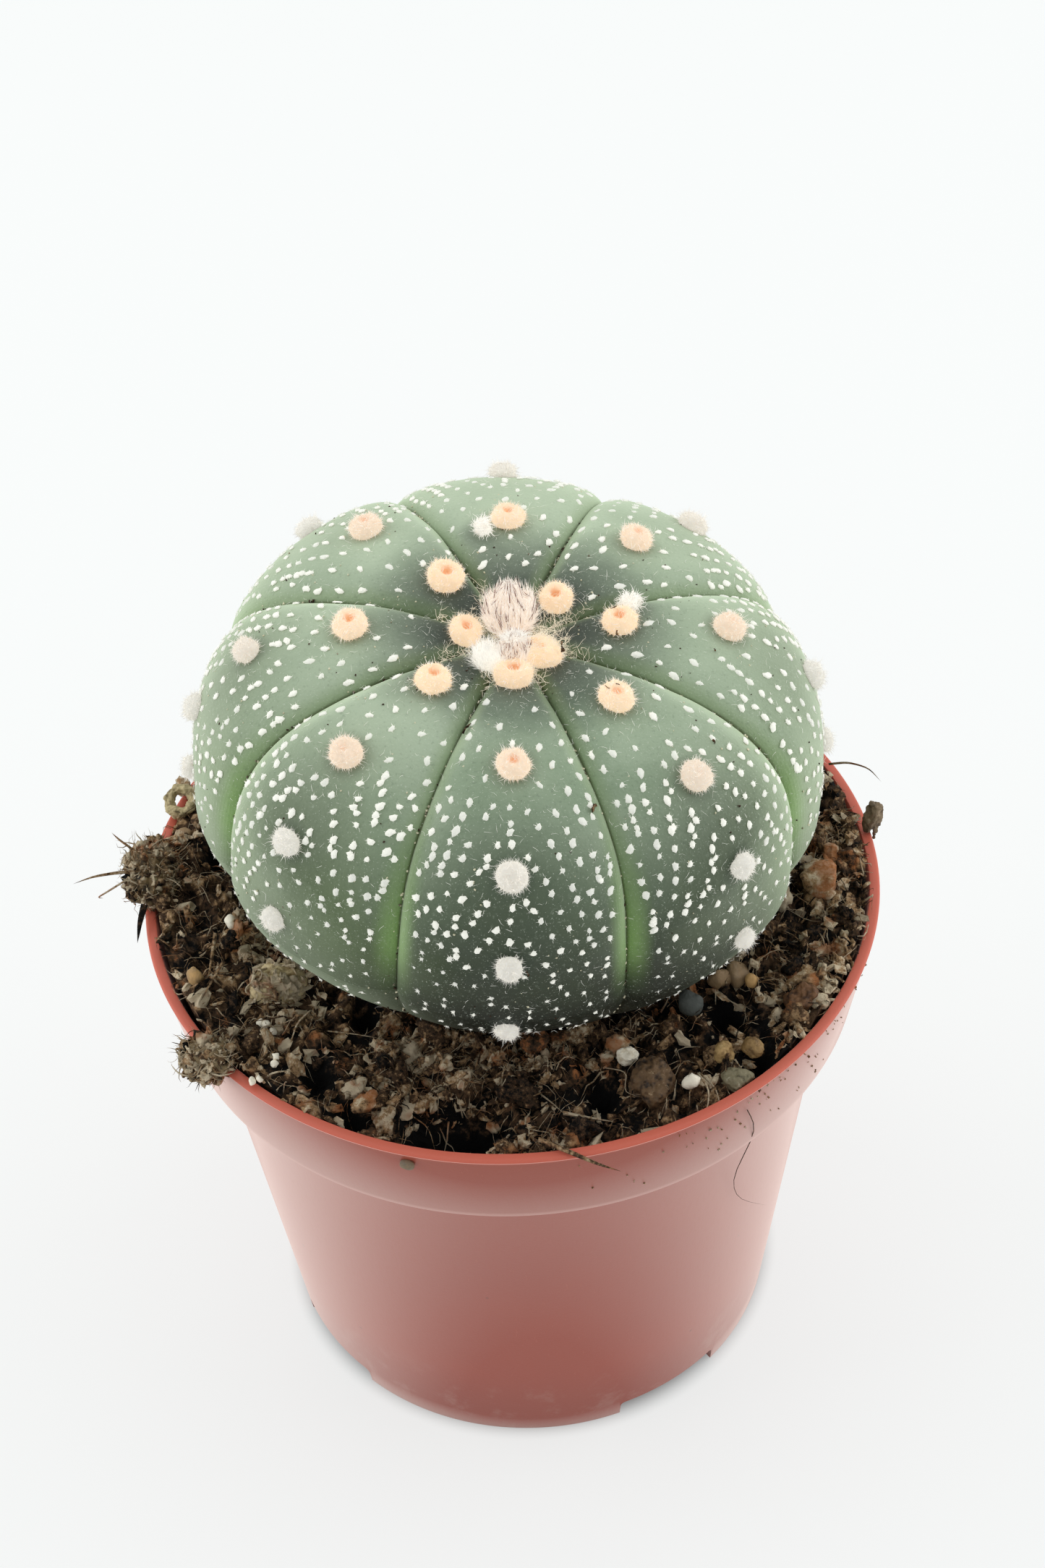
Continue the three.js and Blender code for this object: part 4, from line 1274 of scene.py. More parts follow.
def cut_away(piece, cutter):
    """Cuts one modelled shape out of another, and removes the cutter."""
    modify(piece, "BOOLEAN", operation="DIFFERENCE", object=cutter, solver="EXACT")
    bpy.data.objects.remove(cutter)


cut_through = 11  # mm, well over the thickness of the foot ring
for notch in range(notches):
    turn = notch_centre + notch * 2 * math.pi / notches
    aside = Vector((math.cos(turn), math.sin(turn), 0))
    clear_selection()
    wide = 2 * foot_radius * math.sin(notch_width / 2)
    bpy.ops.mesh.primitive_cube_add(
        size=MM,
        location=aside * (foot_radius + 1) * MM,
        rotation=(0, 0, turn),
        scale=(cut_through, wide, 2 * notch_height),
    )
    cutter = named("notch_cutter")
    with editing(cutter):
        bpy.ops.mesh.bevel(offset=0.6 * MM, segments=3, affect="EDGES")
    cut_away(pot, cutter)
    clear_selection()
    drain_middle = aside * drain_distance + Vector((0, 0, floor_top - floor_thickness / 2))
    bpy.ops.mesh.primitive_cylinder_add(
        vertices=36, radius=drain_radius * MM, depth=3 * floor_thickness * MM, location=drain_middle * MM)
    cut_away(pot, named("drain_cutter"))
chosen(pot)
bpy.ops.object.shade_smooth_by_angle(angle=math.radians(28))
print("the pot has", notches, "notches, as many drain holes, and", len(pot.data.polygons), "faces")

# %% [markdown]
# The plastic is satin, pressed in a dull terracotta. Where it is seen along, a pale pink veil takes over: a
# painted reflection of the white tent, partly a film of dust from use. The lip is a stronger coral, and a
# pale band just over the collar's step is a painted highlight. Fine vertical scuffs, pale lime smudges near
# the foot and a few brown specks show that it has been watered.

# %% Finish of the pot
look = Finish("terracotta_plastic")
height = look.height()
haze = look.cloud(16, detail=3)
scuffs = look.cloud(1.6, detail=4, harsh=0.6, stretch=(6, 6, 0.7))
body_tone = look.mix(paint(153, 73, 58), paint(163, 83, 68), haze)
collar = look.between(height, collar_step - 0.1, collar_step + 0.1)
tone = look.mix(body_tone, paint(155, 80, 65), collar)
# Painted highlight: a pale band just over the collar's step.
painted_step_highlight = collar * look.until(height, collar_step + 0.3, collar_step + 0.9)
tone = look.mix(tone, paint(206, 150, 140), painted_step_highlight * 0.5)
lip = look.between(height, pot_height - 1.0, pot_height - 0.35)
tone = look.mix(tone, paint(206, 106, 88), lip)
tone = look.mix(tone, paint(214, 160, 150), look.between(scuffs, 0.58, 0.8) * 0.16)
foot = look.until(height, 3, 15)
lime = look.between(look.cloud(5, detail=5, harsh=0.65), 0.52, 0.7)
tone = look.mix(tone, paint(206, 178, 168), lime * foot * 0.22)
tone = look.mix(tone, paint(128, 74, 66), foot * 0.35)
spots = look.until(look.grains(7), 0.02, 0.045)
tone = look.mix(tone, paint(96, 52, 40), spots * 0.7)
fine = look.cloud(0.35, detail=2)
pot_finish = look.done(
    Base_Color=tone,
    Roughness=haze * 0.1 + look.between(scuffs, 0.5, 0.8) * 0.12 + 0.34,
    Normal=look.relief(fine * 0.5 + scuffs * 0.5, 0.02),
    Specular_IOR_Level=0.25,
    # The veil is a painted reflection of the white tent at the pot's sides, partly a film of dust.
    veil="ShaderNodeBsdfDiffuse",
    share=(look.slant() - 0.58) * 1.62,
    veil_colour=(1, 0.81, 0.75, 1),
)
finish_piece(pot, pot_finish, "pot", "pot")

# %% [markdown]
# ## Soil
#
# The pot is filled with peat: dark, lumpy and full of fibres, with bark, grit and a few pale grains. The bed
# is turned as one body that fills the pot, and its top is then raised by the same rule as the plain model,
# with finer lumps on it. Crumbs, flakes and fibres are scattered over it, each by seeded chance.

# %% Height of the soil
soil_top, soil_floor_gap = 64.6, 0.4
bed_edge = 40.75
plant_y = plant_place[1]
mound_radius, mound_width, mound_height = 21, 7, 1.6
hollow_at, hollow_half_size, hollow_depth = (-5.5, -34), (6, 3.4), 3.6


def soil_height(x, y):
    """The soil's surface without its fine lumps, in mm."""
    height = soil_top + 3 * rise(-x, 8, 36) + 2.4 * rise(x, 14, 36) - 1.2 * rise(-y, 26, 38)
    height += mound_height * np.exp(-(((np.hypot(x, y - plant_y) - mound_radius) / mound_width) ** 2))
    hollow = ((x - hollow_at[0]) / hollow_half_size[0]) ** 2
    hollow = hollow + ((y - hollow_at[1]) / hollow_half_size[1]) ** 2
    waves = np.sin(0.62 * x + 1.7 * np.sin(0.31 * y)) * np.cos(0.55 * y + 0.4 * x + 1)
    ripple = np.sin(1.13 * x - 0.9 * y + 2) * np.sin(0.8 * x + 1.21 * y)
    return height - hollow_depth * np.exp(-hollow) + 0.7 * waves + 0.45 * ripple


pits = [  # x, y and radius of the dark holes between the lumps
    (22.9, -22.2, 2.0), (26.4, -29.6, 1.9), (-10.3, -35.7, 2.8), (-4.9, -35.2, 3.2), (-22.1, -27.8, 1.8),
    (-17.4, -19.6, 1.6), (30, 8, 1.8), (-34, 5, 1.7), (-19, -33.5, 1.8), (9, -31.5, 1.8),
]
pit_depth = 3
dry_spots = np.array([  # where dry, ochre bark lies thick
    (-9.4, -25.5), (-5.4, -24.7), (-0.7, -26.7), (3.3, -26.4), (-6.4, -30), (-12.6, -24.2), (-15.8, -30.3),
    (36.2, -0.8), (37.5, -7.9), (35.4, -15.6), (31.8, -19.8), (37, 4), (5.5, -37.5), (-1.9, -38.4),
    (-24, -10.3), (-30, -8), (-27.1, -18.9), (20, 30), (-18, 33),
])


def how_pitted(x, y):
    """1 in the middle of a pit, 0 away from them."""
    return sum(np.exp(-(((x - a) / r) ** 2) - ((y - b) / r) ** 2) for a, b, r in pits)


def how_dry(x, y, reach=2.8):
    """1 on a dry spot, 0 away from them."""
    apart = np.hypot(x[:, None] - dry_spots[:, 0], y[:, None] - dry_spots[:, 1]).min(axis=1)
    return np.exp(-((apart / reach) ** 2))


def lumps_at(x, y):
    """The fine lumps of the bed, with creases between them."""
    spots = np.stack([x, y, 0 * x], axis=-1)
    return 1.9 * np.abs(fractal(spots, 4.2, 5)) - 0.9 + 0.35 * fractal(spots + 50, 1.1, 3)


def bed_height(x, y):
    """The surface with its lumps, which sink to nothing near the wall, and its pits."""
    edge = 1 - 0.6 * rise(np.hypot(x, y), 38.5, bed_edge)
    return soil_height(x, y) + lumps_at(x, y) * edge - pit_depth * how_pitted(x, y) * edge


def on_bed(x, y, lift):
    """Places this far above the bed."""
    return np.stack([x, y, bed_height(x, y) + lift], axis=-1)


print(len(pits), "pits and", len(dry_spots), "dry spots")

# %% [markdown]
# The bed is turned in narrow rings, fine enough for its lumps, with a hole for the root in the middle. Only
# the points of its top are raised. Each point keeps a shade: paler where dry bark lies thick and towards the
# left, and darkened by painted shade in the creases between the lumps and in the pits.

# %% Turn the soil bed and raise its top
bed_rings = [*np.arange(18, 24, 1.2), *np.arange(24, bed_edge, 0.36), bed_edge]
flat_top = 64
wall_air = 0.25
underside = [
    (collar_radius - pot_wall - wall_air, collar_step + inner_step_rise),
    (body_top_radius - pot_wall - wall_air, collar_step - inner_step_drop),
    (floor_radius - wall_air, floor_top + soil_floor_gap),
    (8, floor_top + soil_floor_gap),
    (8, 54),
    (bed_rings[0], 58),
    (bed_rings[0], flat_top),
]
soil_bed = spun("soil_bed", [*((radius, flat_top) for radius in bed_rings), *underside], 432)
spots = points_of(soil_bed)
top = spots[:, 2] > flat_top - 1
spots[top, 2] = bed_height(spots[top, 0], spots[top, 1])
move_points(soil_bed, spots)
x, y, _ = spots.T
# Painted shade: the creases between the lumps and the pits are darkened in the shade mark.
dryness_and_crease_shade = 0.09 + 0.48 * rise(lumps_at(x, y), -0.8, 0.9) + 0.12 * how_dry(x, y) + 0.08 * rise(-x, 6, 28)
keep_mark(soil_bed, "shade", dryness_and_crease_shade - 0.7 * how_pitted(x, y))


def peat_finish(name, grain, rusty=0.0):
    """Peat and bark: nearly black where wet, brown, then ochre and tan on the driest pieces. The more rusty,
    the more of it is orange."""
    look = Finish(name)
    shade = look.mark("shade")
    mottle = look.cloud(grain, detail=5, harsh=0.7)
    value = shade + (mottle - 0.5) * 1.85
    tone = look.mix(paint(9, 7, 5), paint(100, 77, 57), look.between(value, 0.06, 0.4))
    tone = look.mix(tone, paint(198, 160, 118), look.between(value, 0.4, 0.62))
    tone = look.mix(tone, paint(250, 230, 196), look.between(value, 0.62, 0.87))
    rust = look.between(look.cloud(3.4, detail=2), 0.56 - rusty, 0.68 - rusty)
    tone = look.mix(tone, paint(190, 114, 64), rust * look.between(value, 0.32, 0.55) * 0.75)
    bump = look.relief(look.cloud(grain * 0.4, detail=5, harsh=0.8), 0.55)
    return look.done(Base_Color=tone, Roughness=0.85, Normal=bump, Specular_IOR_Level=0.25)


bed_finish = peat_finish("peat_bed", 1.4)
finish_piece(soil_bed, bed_finish, "soil", "soil")

# %% [markdown]
# The bed alone would look like dough. Loose crumbs lie on it at every turn, many small ones and few large
# ones, a share of them gathered where the bark lies thick.

# %% Crumbs of peat and bark
rng = np.random.default_rng(31)


def ring_places(count, gathered=0.0, inner=20.5, outer=41.3):
    """Places on the soil's ring, clear of the pits. This share of them is gathered on the dry spots."""
    drawn = 2 * count
    turn = rng.uniform(0, 2 * math.pi, drawn)
    reach = np.sqrt(rng.uniform(inner**2, outer**2, drawn))
    even = np.stack([reach * np.cos(turn), reach * np.sin(turn)], axis=-1)
    on_dry = dry_spots[rng.integers(0, len(dry_spots), drawn)] + rng.normal(0, 2, (drawn, 2))
    x, y = np.where(rng.random((drawn, 1)) < gathered, on_dry, even).T
    far = np.hypot(x, y)
    kept = np.flatnonzero((how_pitted(x, y) < 0.35) & (far > inner) & (far < outer))[:count]
    return x[kept], y[kept]


def inside_wall(x, y, reach, wall=41.7):
    """Draws in what would reach through the pot's wall."""
    inward = np.minimum(1, (wall - reach) / np.hypot(x, y))
    return x * inward, y * inward


crumb_count = 1600
x, y = ring_places(crumb_count, gathered=0.2)
size = 0.2 + 0.9 * rng.random(crumb_count) ** 2.2
x, y = inside_wall(x, y, 2.2 * size)
spots = on_bed(x, y, 0.25 * size)
crumb_sizes = size[:, None] * rng.uniform(0.4, 1.0, (crumb_count, 3)) * np.array([2, 1, 0.7])
shades = 0.22 + rng.beta(1.3, 2.0, crumb_count) + 0.2 * how_dry(x, y) + 0.1 * rise(-x, 6, 28)
picks = rng.integers(0, len(crumb_shapes), crumb_count)
crumb_frames = any_axes(rng, crumb_count)
crumbs = copies("soil_crumbs", crumb_shapes, picks, spots, crumb_frames, crumb_sizes, shade=shades)
crumbs.data.shade_flat()
crumb_finish = peat_finish("peat_crumbs", 0.9)
finish_piece(crumbs, crumb_finish, "soil")


# %% [markdown]
# Clods are crumbs that still hang together. Each is a ball with two scales of clouds pressed into it. The
# balls stand apart while that is done, because the clouds hang in space, and so no two get the same lumps.

# %% Clods
def clod_shape(seed):
    """A ragged clod 1 mm in half size, with swellings and deep gaps."""
    clear_selection()
    bpy.ops.mesh.primitive_ico_sphere_add(subdivisions=3, radius=MM)
    clod = named("clod")
    clod.location.x = seed * 10 * MM
    bpy.ops.object.transform_apply(location=True, rotation=False, scale=False)
    for size, depth in ((1.1, 1.6), (0.35, 1.0)):
        clouds = bpy.data.textures.new(f"clod_{seed}_{size}", "CLOUDS")
        clouds.noise_scale = size * MM
        modify(clod, "DISPLACE", texture=clouds, strength=depth * MM, mid_level=0.5)
    points, faces = taken_apart(clod)
    return points - points.mean(axis=0), faces


clod_shapes = [clod_shape(seed) for seed in range(6)]
clod_count = 115
x, y = ring_places(clod_count, gathered=0.35)
size = 0.7 + 1.5 * rng.random(clod_count) ** 1.6
x, y = inside_wall(x, y, 1.5 * size)
spots = on_bed(x, y, 0.2 * size)
clear = off_cushions(spots) > 1.6 * size  # the lowest cushions stay in sight
spots, size, clod_count = spots[clear], size[clear], int(clear.sum())
clod_sizes = size[:, None] * rng.uniform(0.6, 1.1, (clod_count, 3)) * np.array([1, 1, 0.8])
shades = rng.beta(1.4, 2, clod_count) + 0.2 * how_dry(spots[:, 0], spots[:, 1])
picks = rng.integers(0, len(clod_shapes), clod_count)
clod_frames = any_axes(rng, clod_count)
clods = copies("clods", clod_shapes, picks, spots, clod_frames, clod_sizes, shade=shades)
finish_piece(clods, peat_finish("clod_peat", 0.6), "soil")


# %% [markdown]
# Bark splits into thin flakes. A flake is a small grid, narrowed, crumpled, and drawn out into a thin plate,
# so that it has an edge to catch the light. Flakes lie flat on the bed, give or take a tilt.

# %% Flakes of bark
def flake_shape(seed):
    """A thin crooked flake 2 mm long."""
    clear_selection()
    bpy.ops.mesh.primitive_grid_add(x_subdivisions=3, y_subdivisions=2, size=2 * MM)
    flake = named("flake")
    with editing(flake):
        bpy.ops.transform.resize(value=(1, 0.16 + 0.13 * (seed % 3), 1))
        bpy.ops.transform.vertex_random(offset=0.36 * MM, uniform=0.6, seed=seed)
        bpy.ops.mesh.extrude_region_move(TRANSFORM_OT_translate={"value": (0, 0, 0.16 * MM)})
        bpy.ops.mesh.select_all(action="SELECT")
        bpy.ops.mesh.normals_make_consistent(inside=False)
    return taken_apart(flake)


flake_shapes = [flake_shape(seed) for seed in range(6)]
flake_count = 900
x, y = ring_places(flake_count, gathered=0.4)
size = 0.4 + 1.1 * rng.random(flake_count) ** 2.4
x, y = inside_wall(x, y, 1.3 * size)
tilted = unit(np.array([0, 0, 1.0]) + 0.6 * rng.normal(size=(flake_count, 3)))
picks = rng.integers(0, len(flake_shapes), flake_count)
flake_frames = axes_on(rng, tilted)
flake_sizes = np.tile(size[:, None], 3)
shades = rng.beta(1.9, 1.7, flake_count) + 0.1 * how_dry(x, y)
spots = on_bed(x, y, 0.3)
flakes = copies("bark_flakes", flake_shapes, picks, spots, flake_frames, flake_sizes, shade=shades)
flakes.data.shade_flat()
finish_piece(flakes, crumb_finish, "soil")

# %% [markdown]
# Peat is half-rotted moss and roots, and its fibres bind the crumbs. A long fibre lies level, follows the
# ground and arches over it. A short fuzz stands up everywhere between them.

# %% Fibres and fuzz
def draw_in(lines, wall=41.6):
    """Draws in the points of lines that would reach through the pot's wall."""
    reach = np.hypot(lines[:, :, 0], lines[:, :, 1])
    lines[:, :, :2] *= np.minimum(1, wall / reach)[:, :, None]


fibre_count, fibre_joints = 1900, 6
x, y = ring_places(fibre_count, 0.25, 21, 40.6)
level = np.array([1, 1, 0.0])
starts = rng.normal(size=(fibre_count, 3)) * level
roots = np.stack([x, y, 0 * x], axis=-1)
lengths = rng.uniform(1.5, 7, fibre_count) * rng.uniform(0.5, 1, fibre_count)
lines = wandering(rng, roots, starts, lengths, fibre_joints, 0.28)
draw_in(lines)
flat_lines = lines.reshape(-1, 3)
ground = bed_height(flat_lines[:, 0], flat_lines[:, 1]).reshape(fibre_count, fibre_joints)
arch = np.sin(np.linspace(0.2, math.pi, fibre_joints))[None] * rng.uniform(0, 1.3, fibre_count)[:, None]
lines[:, :, 2] = ground.mean(axis=1, keepdims=True) * 0.35 + ground * 0.65 + 0.15 + arch
fibres = strands("soil_fibres", lines, 0.08 + 0.2 * rng.random(fibre_count) ** 2.5,
                 shade=rng.beta(2.6, 1.5, fibre_count))
fibre_finish = peat_finish("peat_fibres", 0.7)
finish_piece(fibres, fibre_finish, "soil")

fuzz_count = 2600
x, y = ring_places(fuzz_count, 0.3, 21, 41)
roots = on_bed(x, y, rng.uniform(-0.1, 0.7, fuzz_count))
starts = rng.normal(size=(fuzz_count, 3)) + np.array([0, 0, 0.5])
lines = wandering(rng, roots, starts, rng.uniform(0.6, 2.2, fuzz_count), 3, 0.4)
draw_in(lines)
fuzz = strands("peat_fuzz", lines, rng.uniform(0.06, 0.15, fuzz_count), shade=rng.beta(2, 1.5, fuzz_count))
finish_piece(fuzz, fibre_finish, "soil")

# %% [markdown]
# ## What lies on the soil
#
# Stones, bark and clods lie where the photograph shows them. Each starts as a merged copy of its plain
# solid, so that it keeps its place and size, and is then subdivided and roughened in two scales, more
# strongly for clods and bark than for stones.


# %% Roughened copies of the loose pieces
def roughened(node, name, levels, lumps, grain):
    """A finer copy of a plain node. lumps and grain are pairs of size and depth in mm."""
    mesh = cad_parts[node].data.copy()
    piece = bpy.data.objects.new(name, mesh)
    bpy.context.collection.objects.link(piece)
    with editing(piece):
        bpy.ops.mesh.remove_doubles(threshold=0.01 * MM)
    modify(piece, "SUBSURF", levels=levels, render_levels=levels)
    for number, (size, depth) in enumerate((lumps, grain)):
        clouds = bpy.data.textures.new(f"{name}_{number}", "CLOUDS")
        clouds.noise_scale = size * MM
        clouds.noise_depth = 2
        modify(piece, "DISPLACE", texture=clouds, strength=depth * MM, mid_level=0.5)
    piece.data.shade_smooth()
    return piece


def stone_finish(name, colours, grain):
    """Mottles of this size in mm, in three colours from dark to pale."""
    look = Finish(name)
    dark, mid, pale = (paint(*colour) for colour in colours)
    mottle = look.cloud(grain, detail=5, harsh=0.6)
    tone = look.mix(dark, mid, look.between(mottle, 0.3, 0.55))
    tone = look.mix(tone, pale, look.between(mottle, 0.6, 0.78))
    bump = look.relief(look.cloud(grain * 0.4, detail=4), 0.12)
    return look.done(Base_Color=tone, Roughness=0.7, Normal=bump)


stones = {  # three colours from dark to pale, and the size of the mottles
    "stone_dark": ((40, 29, 20), (104, 80, 54), (190, 166, 130), 1.0),
    "stone_tan_left": ((124, 96, 56), (182, 150, 100), (218, 192, 144), 1.0),
    "stone_tan_right": ((98, 74, 44), (152, 122, 78), (198, 170, 122), 1.0),
    "stone_mottled": ((70, 66, 48), (130, 122, 96), (196, 190, 168), 0.8),
    "perlite_grain": ((214, 200, 172), (246, 238, 218), (255, 250, 238), 0.6),
}
for node, (*colours, grain) in stones.items():
    lumps, rough = ((1.9, 1.5), 0.55) if node == "stone_dark" else ((1.6, 0.7), 0.22)
    piece = roughened(node, f"{node}_fine", 3, lumps, (0.45, rough))
    material = stone_finish(f"{node}_surface", colours, grain)
    finish_piece(piece, material, "perlite" if node == "perlite_grain" else "stone", node)

barks = {  # three colours from dark to pale, and the slot
    "bark_chip_pale": ((150, 126, 86), (216, 196, 152), (250, 238, 204), "bark"),
    "bark_chip_brown": ((62, 40, 26), (112, 78, 50), (166, 130, 90), "bark"),
    "bark_ring": ((120, 104, 72), (190, 174, 132), (228, 218, 184), "bark"),
    "twig_stub": ((70, 58, 42), (124, 106, 82), (176, 158, 130), "bark"),
    "peat_clump_left": ((30, 23, 15), (112, 92, 62), (206, 190, 150), "peat"),
    "peat_clump_front": ((40, 32, 22), (140, 120, 88), (212, 194, 156), "peat"),
}
dressed = {}
for node, (*colours, slot) in barks.items():
    piece = roughened(node, f"{node}_fine", 3, (1.8, 2.2 if slot == "peat" else 1.0), (0.5, 0.5))
    material = stone_finish(f"{node}_surface", colours, 0.9)
    finish_piece(piece, material, slot, node)
    dressed[node] = piece

# %% [markdown]
# Two clods of peat hang over the rim, and a pale fibrous chip lies on the left. Each is dressed in what it
# is made of: crumbs, flakes that stick out of the clods and lie flat on the chip, and fibres that follow the
# surface and then leave it.

# %% Crumbs, flakes and fibres on the clods
clod_dressing = {  # how many crumbs, fibres and flakes, how bright they are, how far the flakes stand up
    "peat_clump_left": (200, 420, 60, 0.68, 1),
    "peat_clump_front": (150, 300, 50, 0.72, 1),
    "bark_chip_pale": (20, 30, 130, 1.15, 0.15),
}
for node, (crumbs_on, fibres_on, flakes_on, brightness, upright) in clod_dressing.items():
    spots, outs, _ = scatter(rng, dressed[node], flakes_on)
    crooked = unit(np.cross(outs, rng.normal(size=outs.shape)) * upright + 0.5 * outs)
    sizes = rng.uniform(0.35, 0.95, (flakes_on, 1)) * np.array([1, 0.8, 1]) * (1.3 - 0.3 * upright)
    picks = rng.integers(0, len(flake_shapes), flakes_on)
    sliver_frames = axes_on(rng, crooked)
    shades = np.clip(rng.normal(brightness, 0.2, flakes_on), 0, 1)
    slivers = copies(f"{node}_flakes", flake_shapes, picks, spots, sliver_frames, sizes, shade=shades)
    slivers.data.shade_flat()
    finish_piece(slivers, crumb_finish, "peat")
    spots = scatter(rng, dressed[node], crumbs_on)[0]
    sizes = rng.uniform(0.12, 0.6, (crumbs_on, 1)) * rng.uniform(0.4, 1.5, (crumbs_on, 3))
    shades = np.clip(rng.normal(brightness, 0.4, crumbs_on), 0, 1)
    picks = rng.integers(0, len(crumb_shapes), crumbs_on)
    grit_frames = any_axes(rng, crumbs_on)
    grit = copies(f"{node}_crumbs", crumb_shapes, picks, spots, grit_frames, sizes, shade=shades)
    finish_piece(grit, crumb_finish, "peat")
    spots, outs, _ = scatter(rng, dressed[node], fibres_on)
    any_way = rng.normal(size=outs.shape)
    along_it = any_way - (any_way * outs).sum(axis=1, keepdims=True) * outs
    lines = wandering(rng, spots + 0.1 * outs, along_it + 0.55 * outs,
                      0.8 + 2.6 * rng.random(fibres_on) ** 2, 6, 0.45)
    tangle = strands(f"{node}_fibres", lines, 0.07 + 0.25 * rng.random(fibres_on) ** 2,
                     shade=np.clip(rng.normal(brightness + 0.1, 0.25, fibres_on), 0, 1))
    finish_piece(tangle, fibre_finish, "peat")

# %% [markdown]
# Some bits of bark catch the eye, so they are set one by one where the photograph shows them. They are
# crumbs again, rounded by one subdivision and then made craggy.

# %% Bits of bark that catch the eye
eye_catching = [  # x, y, half size, shade
    (-15.3, -24.7, 1.0, 0.8), (-9.7, -26.3, 1.1, 0.85), (-8.2, -27.6, 0.9, 0.8), (-6.2, -29, 0.9, 0.75),
    (-3.3, -32.3, 0.8, 0.9), (-17.1, -32.2, 1.5, 0.7), (0.4, -34.2, 0.7, 0.85), (1.7, -25.3, 1.7, 0.42),
    (4.7, -24, 1.5, 0.5), (10.6, -25.9, 1.5, 0.72), (5.5, -37.8, 1.8, 0.5), (-2.1, -38.2, 1.4, 0.45),
    (-10.6, -36.4, 1.0, 0.95), (30.6, -23.6, 1.7, 0.5), (35.3, -4.9, 2.2, 0.68), (32, -18.8, 2, 0.62),
    (-31.3, -8.1, 1.2, 0.75), (-38.7, 17, 1.3, 0.72), (37, -0.8, 1.8, 0.6), (36.5, 5, 1.5, 0.5),
]
x, y, half, shades = columns_of(eye_catching)
spots = on_bed(x, y, 0.45 * half)
sizes = half[:, None] * rng.uniform(0.7, 1.2, (len(half), 3)) * np.array([1, 1, 0.8])
picks = rng.integers(0, len(crumb_shapes), len(half))
level_frames = axes_on(rng, np.tile([0, 0, 1.0], (len(half), 1)))
bark_bits = copies("bark_bits", crumb_shapes, picks, spots, level_frames, sizes, shade=shades)
modify(bark_bits, "SUBSURF", levels=1, render_levels=1)
crags = bpy.data.textures.new("bark_crags", "CLOUDS")
crags.noise_scale = 0.5 * MM
modify(bark_bits, "DISPLACE", texture=crags, strength=1.2 * MM, mid_level=0.5)
finish_piece(bark_bits, peat_finish("bark_bits", 1.1, rusty=0.1), "bark")

# %% [markdown]
# ## Small things that lie about
#
# Needles, straws and roots lie on the soil and over the rim where the photograph shows them, and one brown
# hair sticks to the wall. Each is a strand along a few points, with its corners smoothed out.


# %% Needles, roots and hairs
def smooth_line(points, joints=14):
    """Even steps along a soft curve through a few points."""
    points = np.array(points, float)
    steps = np.linspace(0, len(points) - 1, joints)
    line = np.stack([np.interp(steps, range(len(points)), column) for column in points.T], axis=-1)
    for _ in range(2):
        line[1:-1] = (line[:-2] + 2 * line[1:-1] + line[2:]) / 4
    return line


lying = [  # thickness, shade, then x, y and the height above the soil of each point
    (0.55, 0.62, [(-33.8, -8.9, 1.8), (-34.1, -13, 1.6), (-34.5, -16.8, 1.4)]),
    (0.45, 0.55, [(-32.6, -13.8, 1.5), (-34, -17, 1.4), (-35.1, -19.6, 1.2)]),
    (0.3, 0.7, [(-22.9, -20.1, 1.6), (-24.4, -22, 1.8), (-25, -24.4, 1.5), (-25.5, -25.6, 1)]),
    (0.22, 0.75, [(-21.1, -22.3, 1.2), (-18.1, -23.4, 1.7), (-15, -24, 1.3)]),
    (0.25, 0.6, [(-13, -28, 1.4), (-12.6, -32, 1.8), (-10.3, -33.7, 1.5), (-9.6, -37.3, 1)]),
    (0.9, 0.85, [(12.6, -37.4, 1.4), (15, -37.2, 1.6), (17.7, -36.8, 1.4)]),
    (0.6, 0.8, [(4.4, -34.6, 1.8), (7, -35.6, 1.9), (10, -36.1, 1.5)]),
    (0.3, 0.85, [(19.2, -31, 2.2), (20.2, -33.4, 2.4), (20, -35.6, 2), (18.6, -37.6, 1.4)]),
    (0.25, 0.8, [(19.4, -30.6, 1.8), (21, -33.4, 2.2), (21.4, -36.4, 1.6)]),
    (0.16, 0.9, [(9.2, -29, 1.6), (11.6, -30.4, 2.4), (11, -33, 2), (13, -33.4, 1.4)]),
    (0.35, 0.62, [(38.2, 13.8, 2), (40.4, 12.9, 3), (42.6, 11.4, 3.3), (43.9, 9.6, 2.6)]),
]
hanging = [  # thickness, shade, then x, y and z of each point
    (0.7, 0.5, [(1.6, -40.2, 67.3), (4.9, -41.9, 66.9), (7.6, -43.1, 66.2), (10.2, -43.4, 65)]),
    (0.9, 0.14, [(-42.2, -3.2, 68.2), (-42.7, -5.2, 67.4), (-43, -7.3, 66.2)]),
    (0.13, 0.3, [
        (24.3, -34.4, 63.4), (25.8, -31.8, 56.8), (23.2, -28, 44), (24.2, -25.8, 37.3), (28, -23.4, 33),
    ]),
    (0.55, 0.6, [(-41.5, 1, 69.5), (-44.9, 0.6, 70), (-48, 0, 70.1), (-50.4, -0.4, 69.4)]),
    (0.3, 0.8, [(-44, -0.6, 70), (-46.6, -1.2, 68.6), (-47.8, -1, 67.6), (-47.2, -0.4, 66.8)]),
    (0.4, 0.7, [(-42.6, 1.6, 71.8), (-44.6, 1.8, 74), (-45.4, 2, 75)]),
    (0.4, 0.12, [(-33.4, -22.6, 66.6), (-35.6, -25, 66), (-37, -27.2, 65.4)]),
    (0.35, 0.2, [(-33.6, -22.8, 66.4), (-36.2, -24.8, 66), (-37.4, -26, 66)]),
    (0.3, 0.3, [(-33.4, -23.4, 66), (-35, -27, 65), (-35.8, -28.6, 64.4)]),
]
threads = [(thick, shade, smooth_line(points)) for thick, shade, points in hanging]
for thick, shade, points in lying:
    line = smooth_line(points)
    line[:, 2] += bed_height(line[:, 0], line[:, 1]).mean()
    threads.append((thick, shade, line))
thicknesses, shades, lines = columns_of(threads)
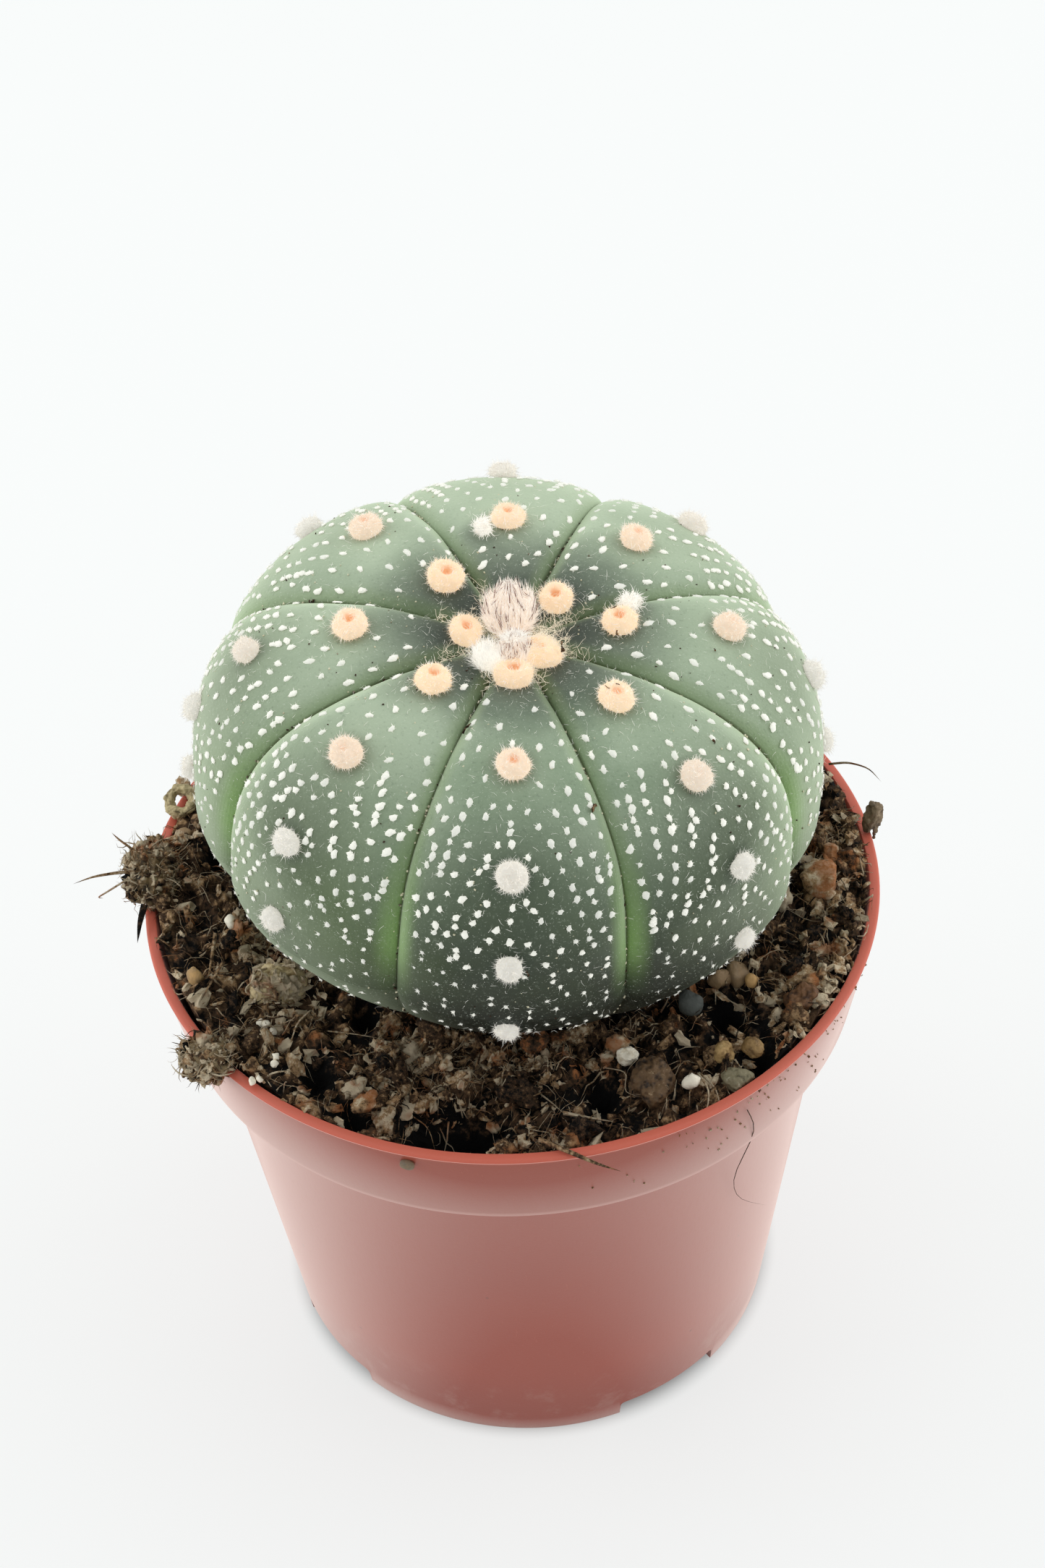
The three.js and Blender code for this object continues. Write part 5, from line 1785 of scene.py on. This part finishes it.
finish_piece(strands("needles_and_roots", lines, thicknesses, shade=shades), fibre_finish, "soil")

# %% [markdown]
# Pebbles and pale grains are crumbs drawn far towards a ball and subdivided, and each takes its colour from
# its shade. A few scraps of husk, which are small flakes, have dropped on the plant.

# %% Pebbles, pale grains and scraps
pebbles = [  # x, y, half size, shade from dark grey over tan and ochre to white
    (-35.7, -15.9, 1.2, 0.62), (-32.1, -7.1, 0.8, 1), (18.4, -32, 0.9, 0.95), (22.7, -17.7, 1.2, 0.45),
    (24.7, -17.1, 1.3, 0.4), (26.2, -18.5, 0.9, 0.7), (19.1, -21.2, 1.5, 0.08), (-38.4, 9, 1, 0.55),
    (-27.9, -21.3, 0.5, 1), (-28.6, -21, 0.45, 1), (-27.2, -21.8, 0.5, 1), (-26.6, -27, 0.5, 1),
    (-26.8, -27.8, 0.4, 1), (-29.2, -29.9, 0.5, 0.95), (-28.4, -29.6, 0.4, 1), (-12.5, -40.3, 0.8, 0.3),
]
x, y, half, shades = columns_of(pebbles)
spots = on_bed(x, y, 0.9 * half) + np.array([0, 0, 0.3])
pebble_sizes = half[:, None] * rng.uniform(0.8, 1.3, (len(half), 3))
pebble_shapes = [crumb_shape(seed, rough=0.3, round_off=0.75) for seed in range(8)]
picks = rng.integers(0, len(pebble_shapes), len(half))
pebble_frames = any_axes(rng, len(half))
grit = copies("pebbles", pebble_shapes, picks, spots, pebble_frames, pebble_sizes, shade=shades)
modify(grit, "SUBSURF", levels=1, render_levels=1)
look = Finish("pebble_stone")
shade = look.mark("shade") + (look.cloud(0.8, detail=4) - 0.5) * 0.25
tone = look.mix(paint(84, 88, 84), paint(150, 124, 92), look.between(shade, 0.15, 0.45))
tone = look.mix(tone, paint(194, 154, 100), look.between(shade, 0.55, 0.7))
tone = look.mix(tone, paint(255, 246, 226), look.between(shade, 0.78, 0.92))
pebble_bump = look.relief(look.cloud(0.3, detail=4), 0.1)
finish_piece(grit, look.done(Base_Color=tone, Roughness=0.7, Normal=pebble_bump), "stone")

scraps = [  # rib, way along, mm across, mm above the skin, half size
    (1, 6.8, 0.9, 1.9, 0.8), (1, 14.6, -0.6, 1.9, 0.35), (1, 15, 0.5, 1.9, 0.3), (2, 11.4, -1.9, 1.2, 0.5),
    (2, 11.2, 0.9, 1.9, 0.4), (2, 15.4, 6.2, 0.4, 1.1), (0, 15.6, -5.2, 0.3, 0.8), (0, 25.6, 8.6, 0.3, 0.9),
    (0, 43, 1.9, 0.6, 0.5), (2, 22, -3, 0.2, 0.5), (1, 26, 5, 0.2, 0.4),
]
rib, along, aside, lift, half = columns_of(scraps)
side = aside / half_rib(along)
axes = skin_axes(rib, along, side)
spots = on_skin(rib, along, side) + axes[:, :, 2] * lift[:, None]
picks = rng.integers(0, len(flake_shapes), len(half))
scrap_frames = any_axes(rng, len(half))
scrap_sizes = half[:, None] * np.array([0.8, 0.6, 0.8])
shades = rng.uniform(0.35, 0.5, len(half))
bits = copies("scraps", flake_shapes, picks, spots, scrap_frames, scrap_sizes, shade=shades)
finish_piece(bits, crumb_finish, "stem")

# %% [markdown]
# Watering has splashed a few specks of soil on the collar, most of them close under the rim.

# %% Specks of soil on the pot's wall
speck_count = 70
turn = np.radians(rng.normal(-48, 16, speck_count))
up = pot_height - 0.7 - 9 * rng.random(speck_count) ** 2.5
reach = collar_radius + (rim_radius - collar_radius) * (up - collar_step) / (pot_height - collar_step)
spots = np.stack([reach * np.cos(turn), reach * np.sin(turn), up], axis=-1)
picks = rng.integers(0, len(speck_shapes), speck_count)
speck_frames = any_axes(rng, speck_count)
speck_sizes = rng.uniform(0.04, 0.15, (speck_count, 3))
shades = rng.uniform(0.55, 0.85, speck_count)
specks = copies("wall_specks", speck_shapes, picks, spots, speck_frames, speck_sizes, shade=shades)
finish_piece(specks, crumb_finish, "pot")
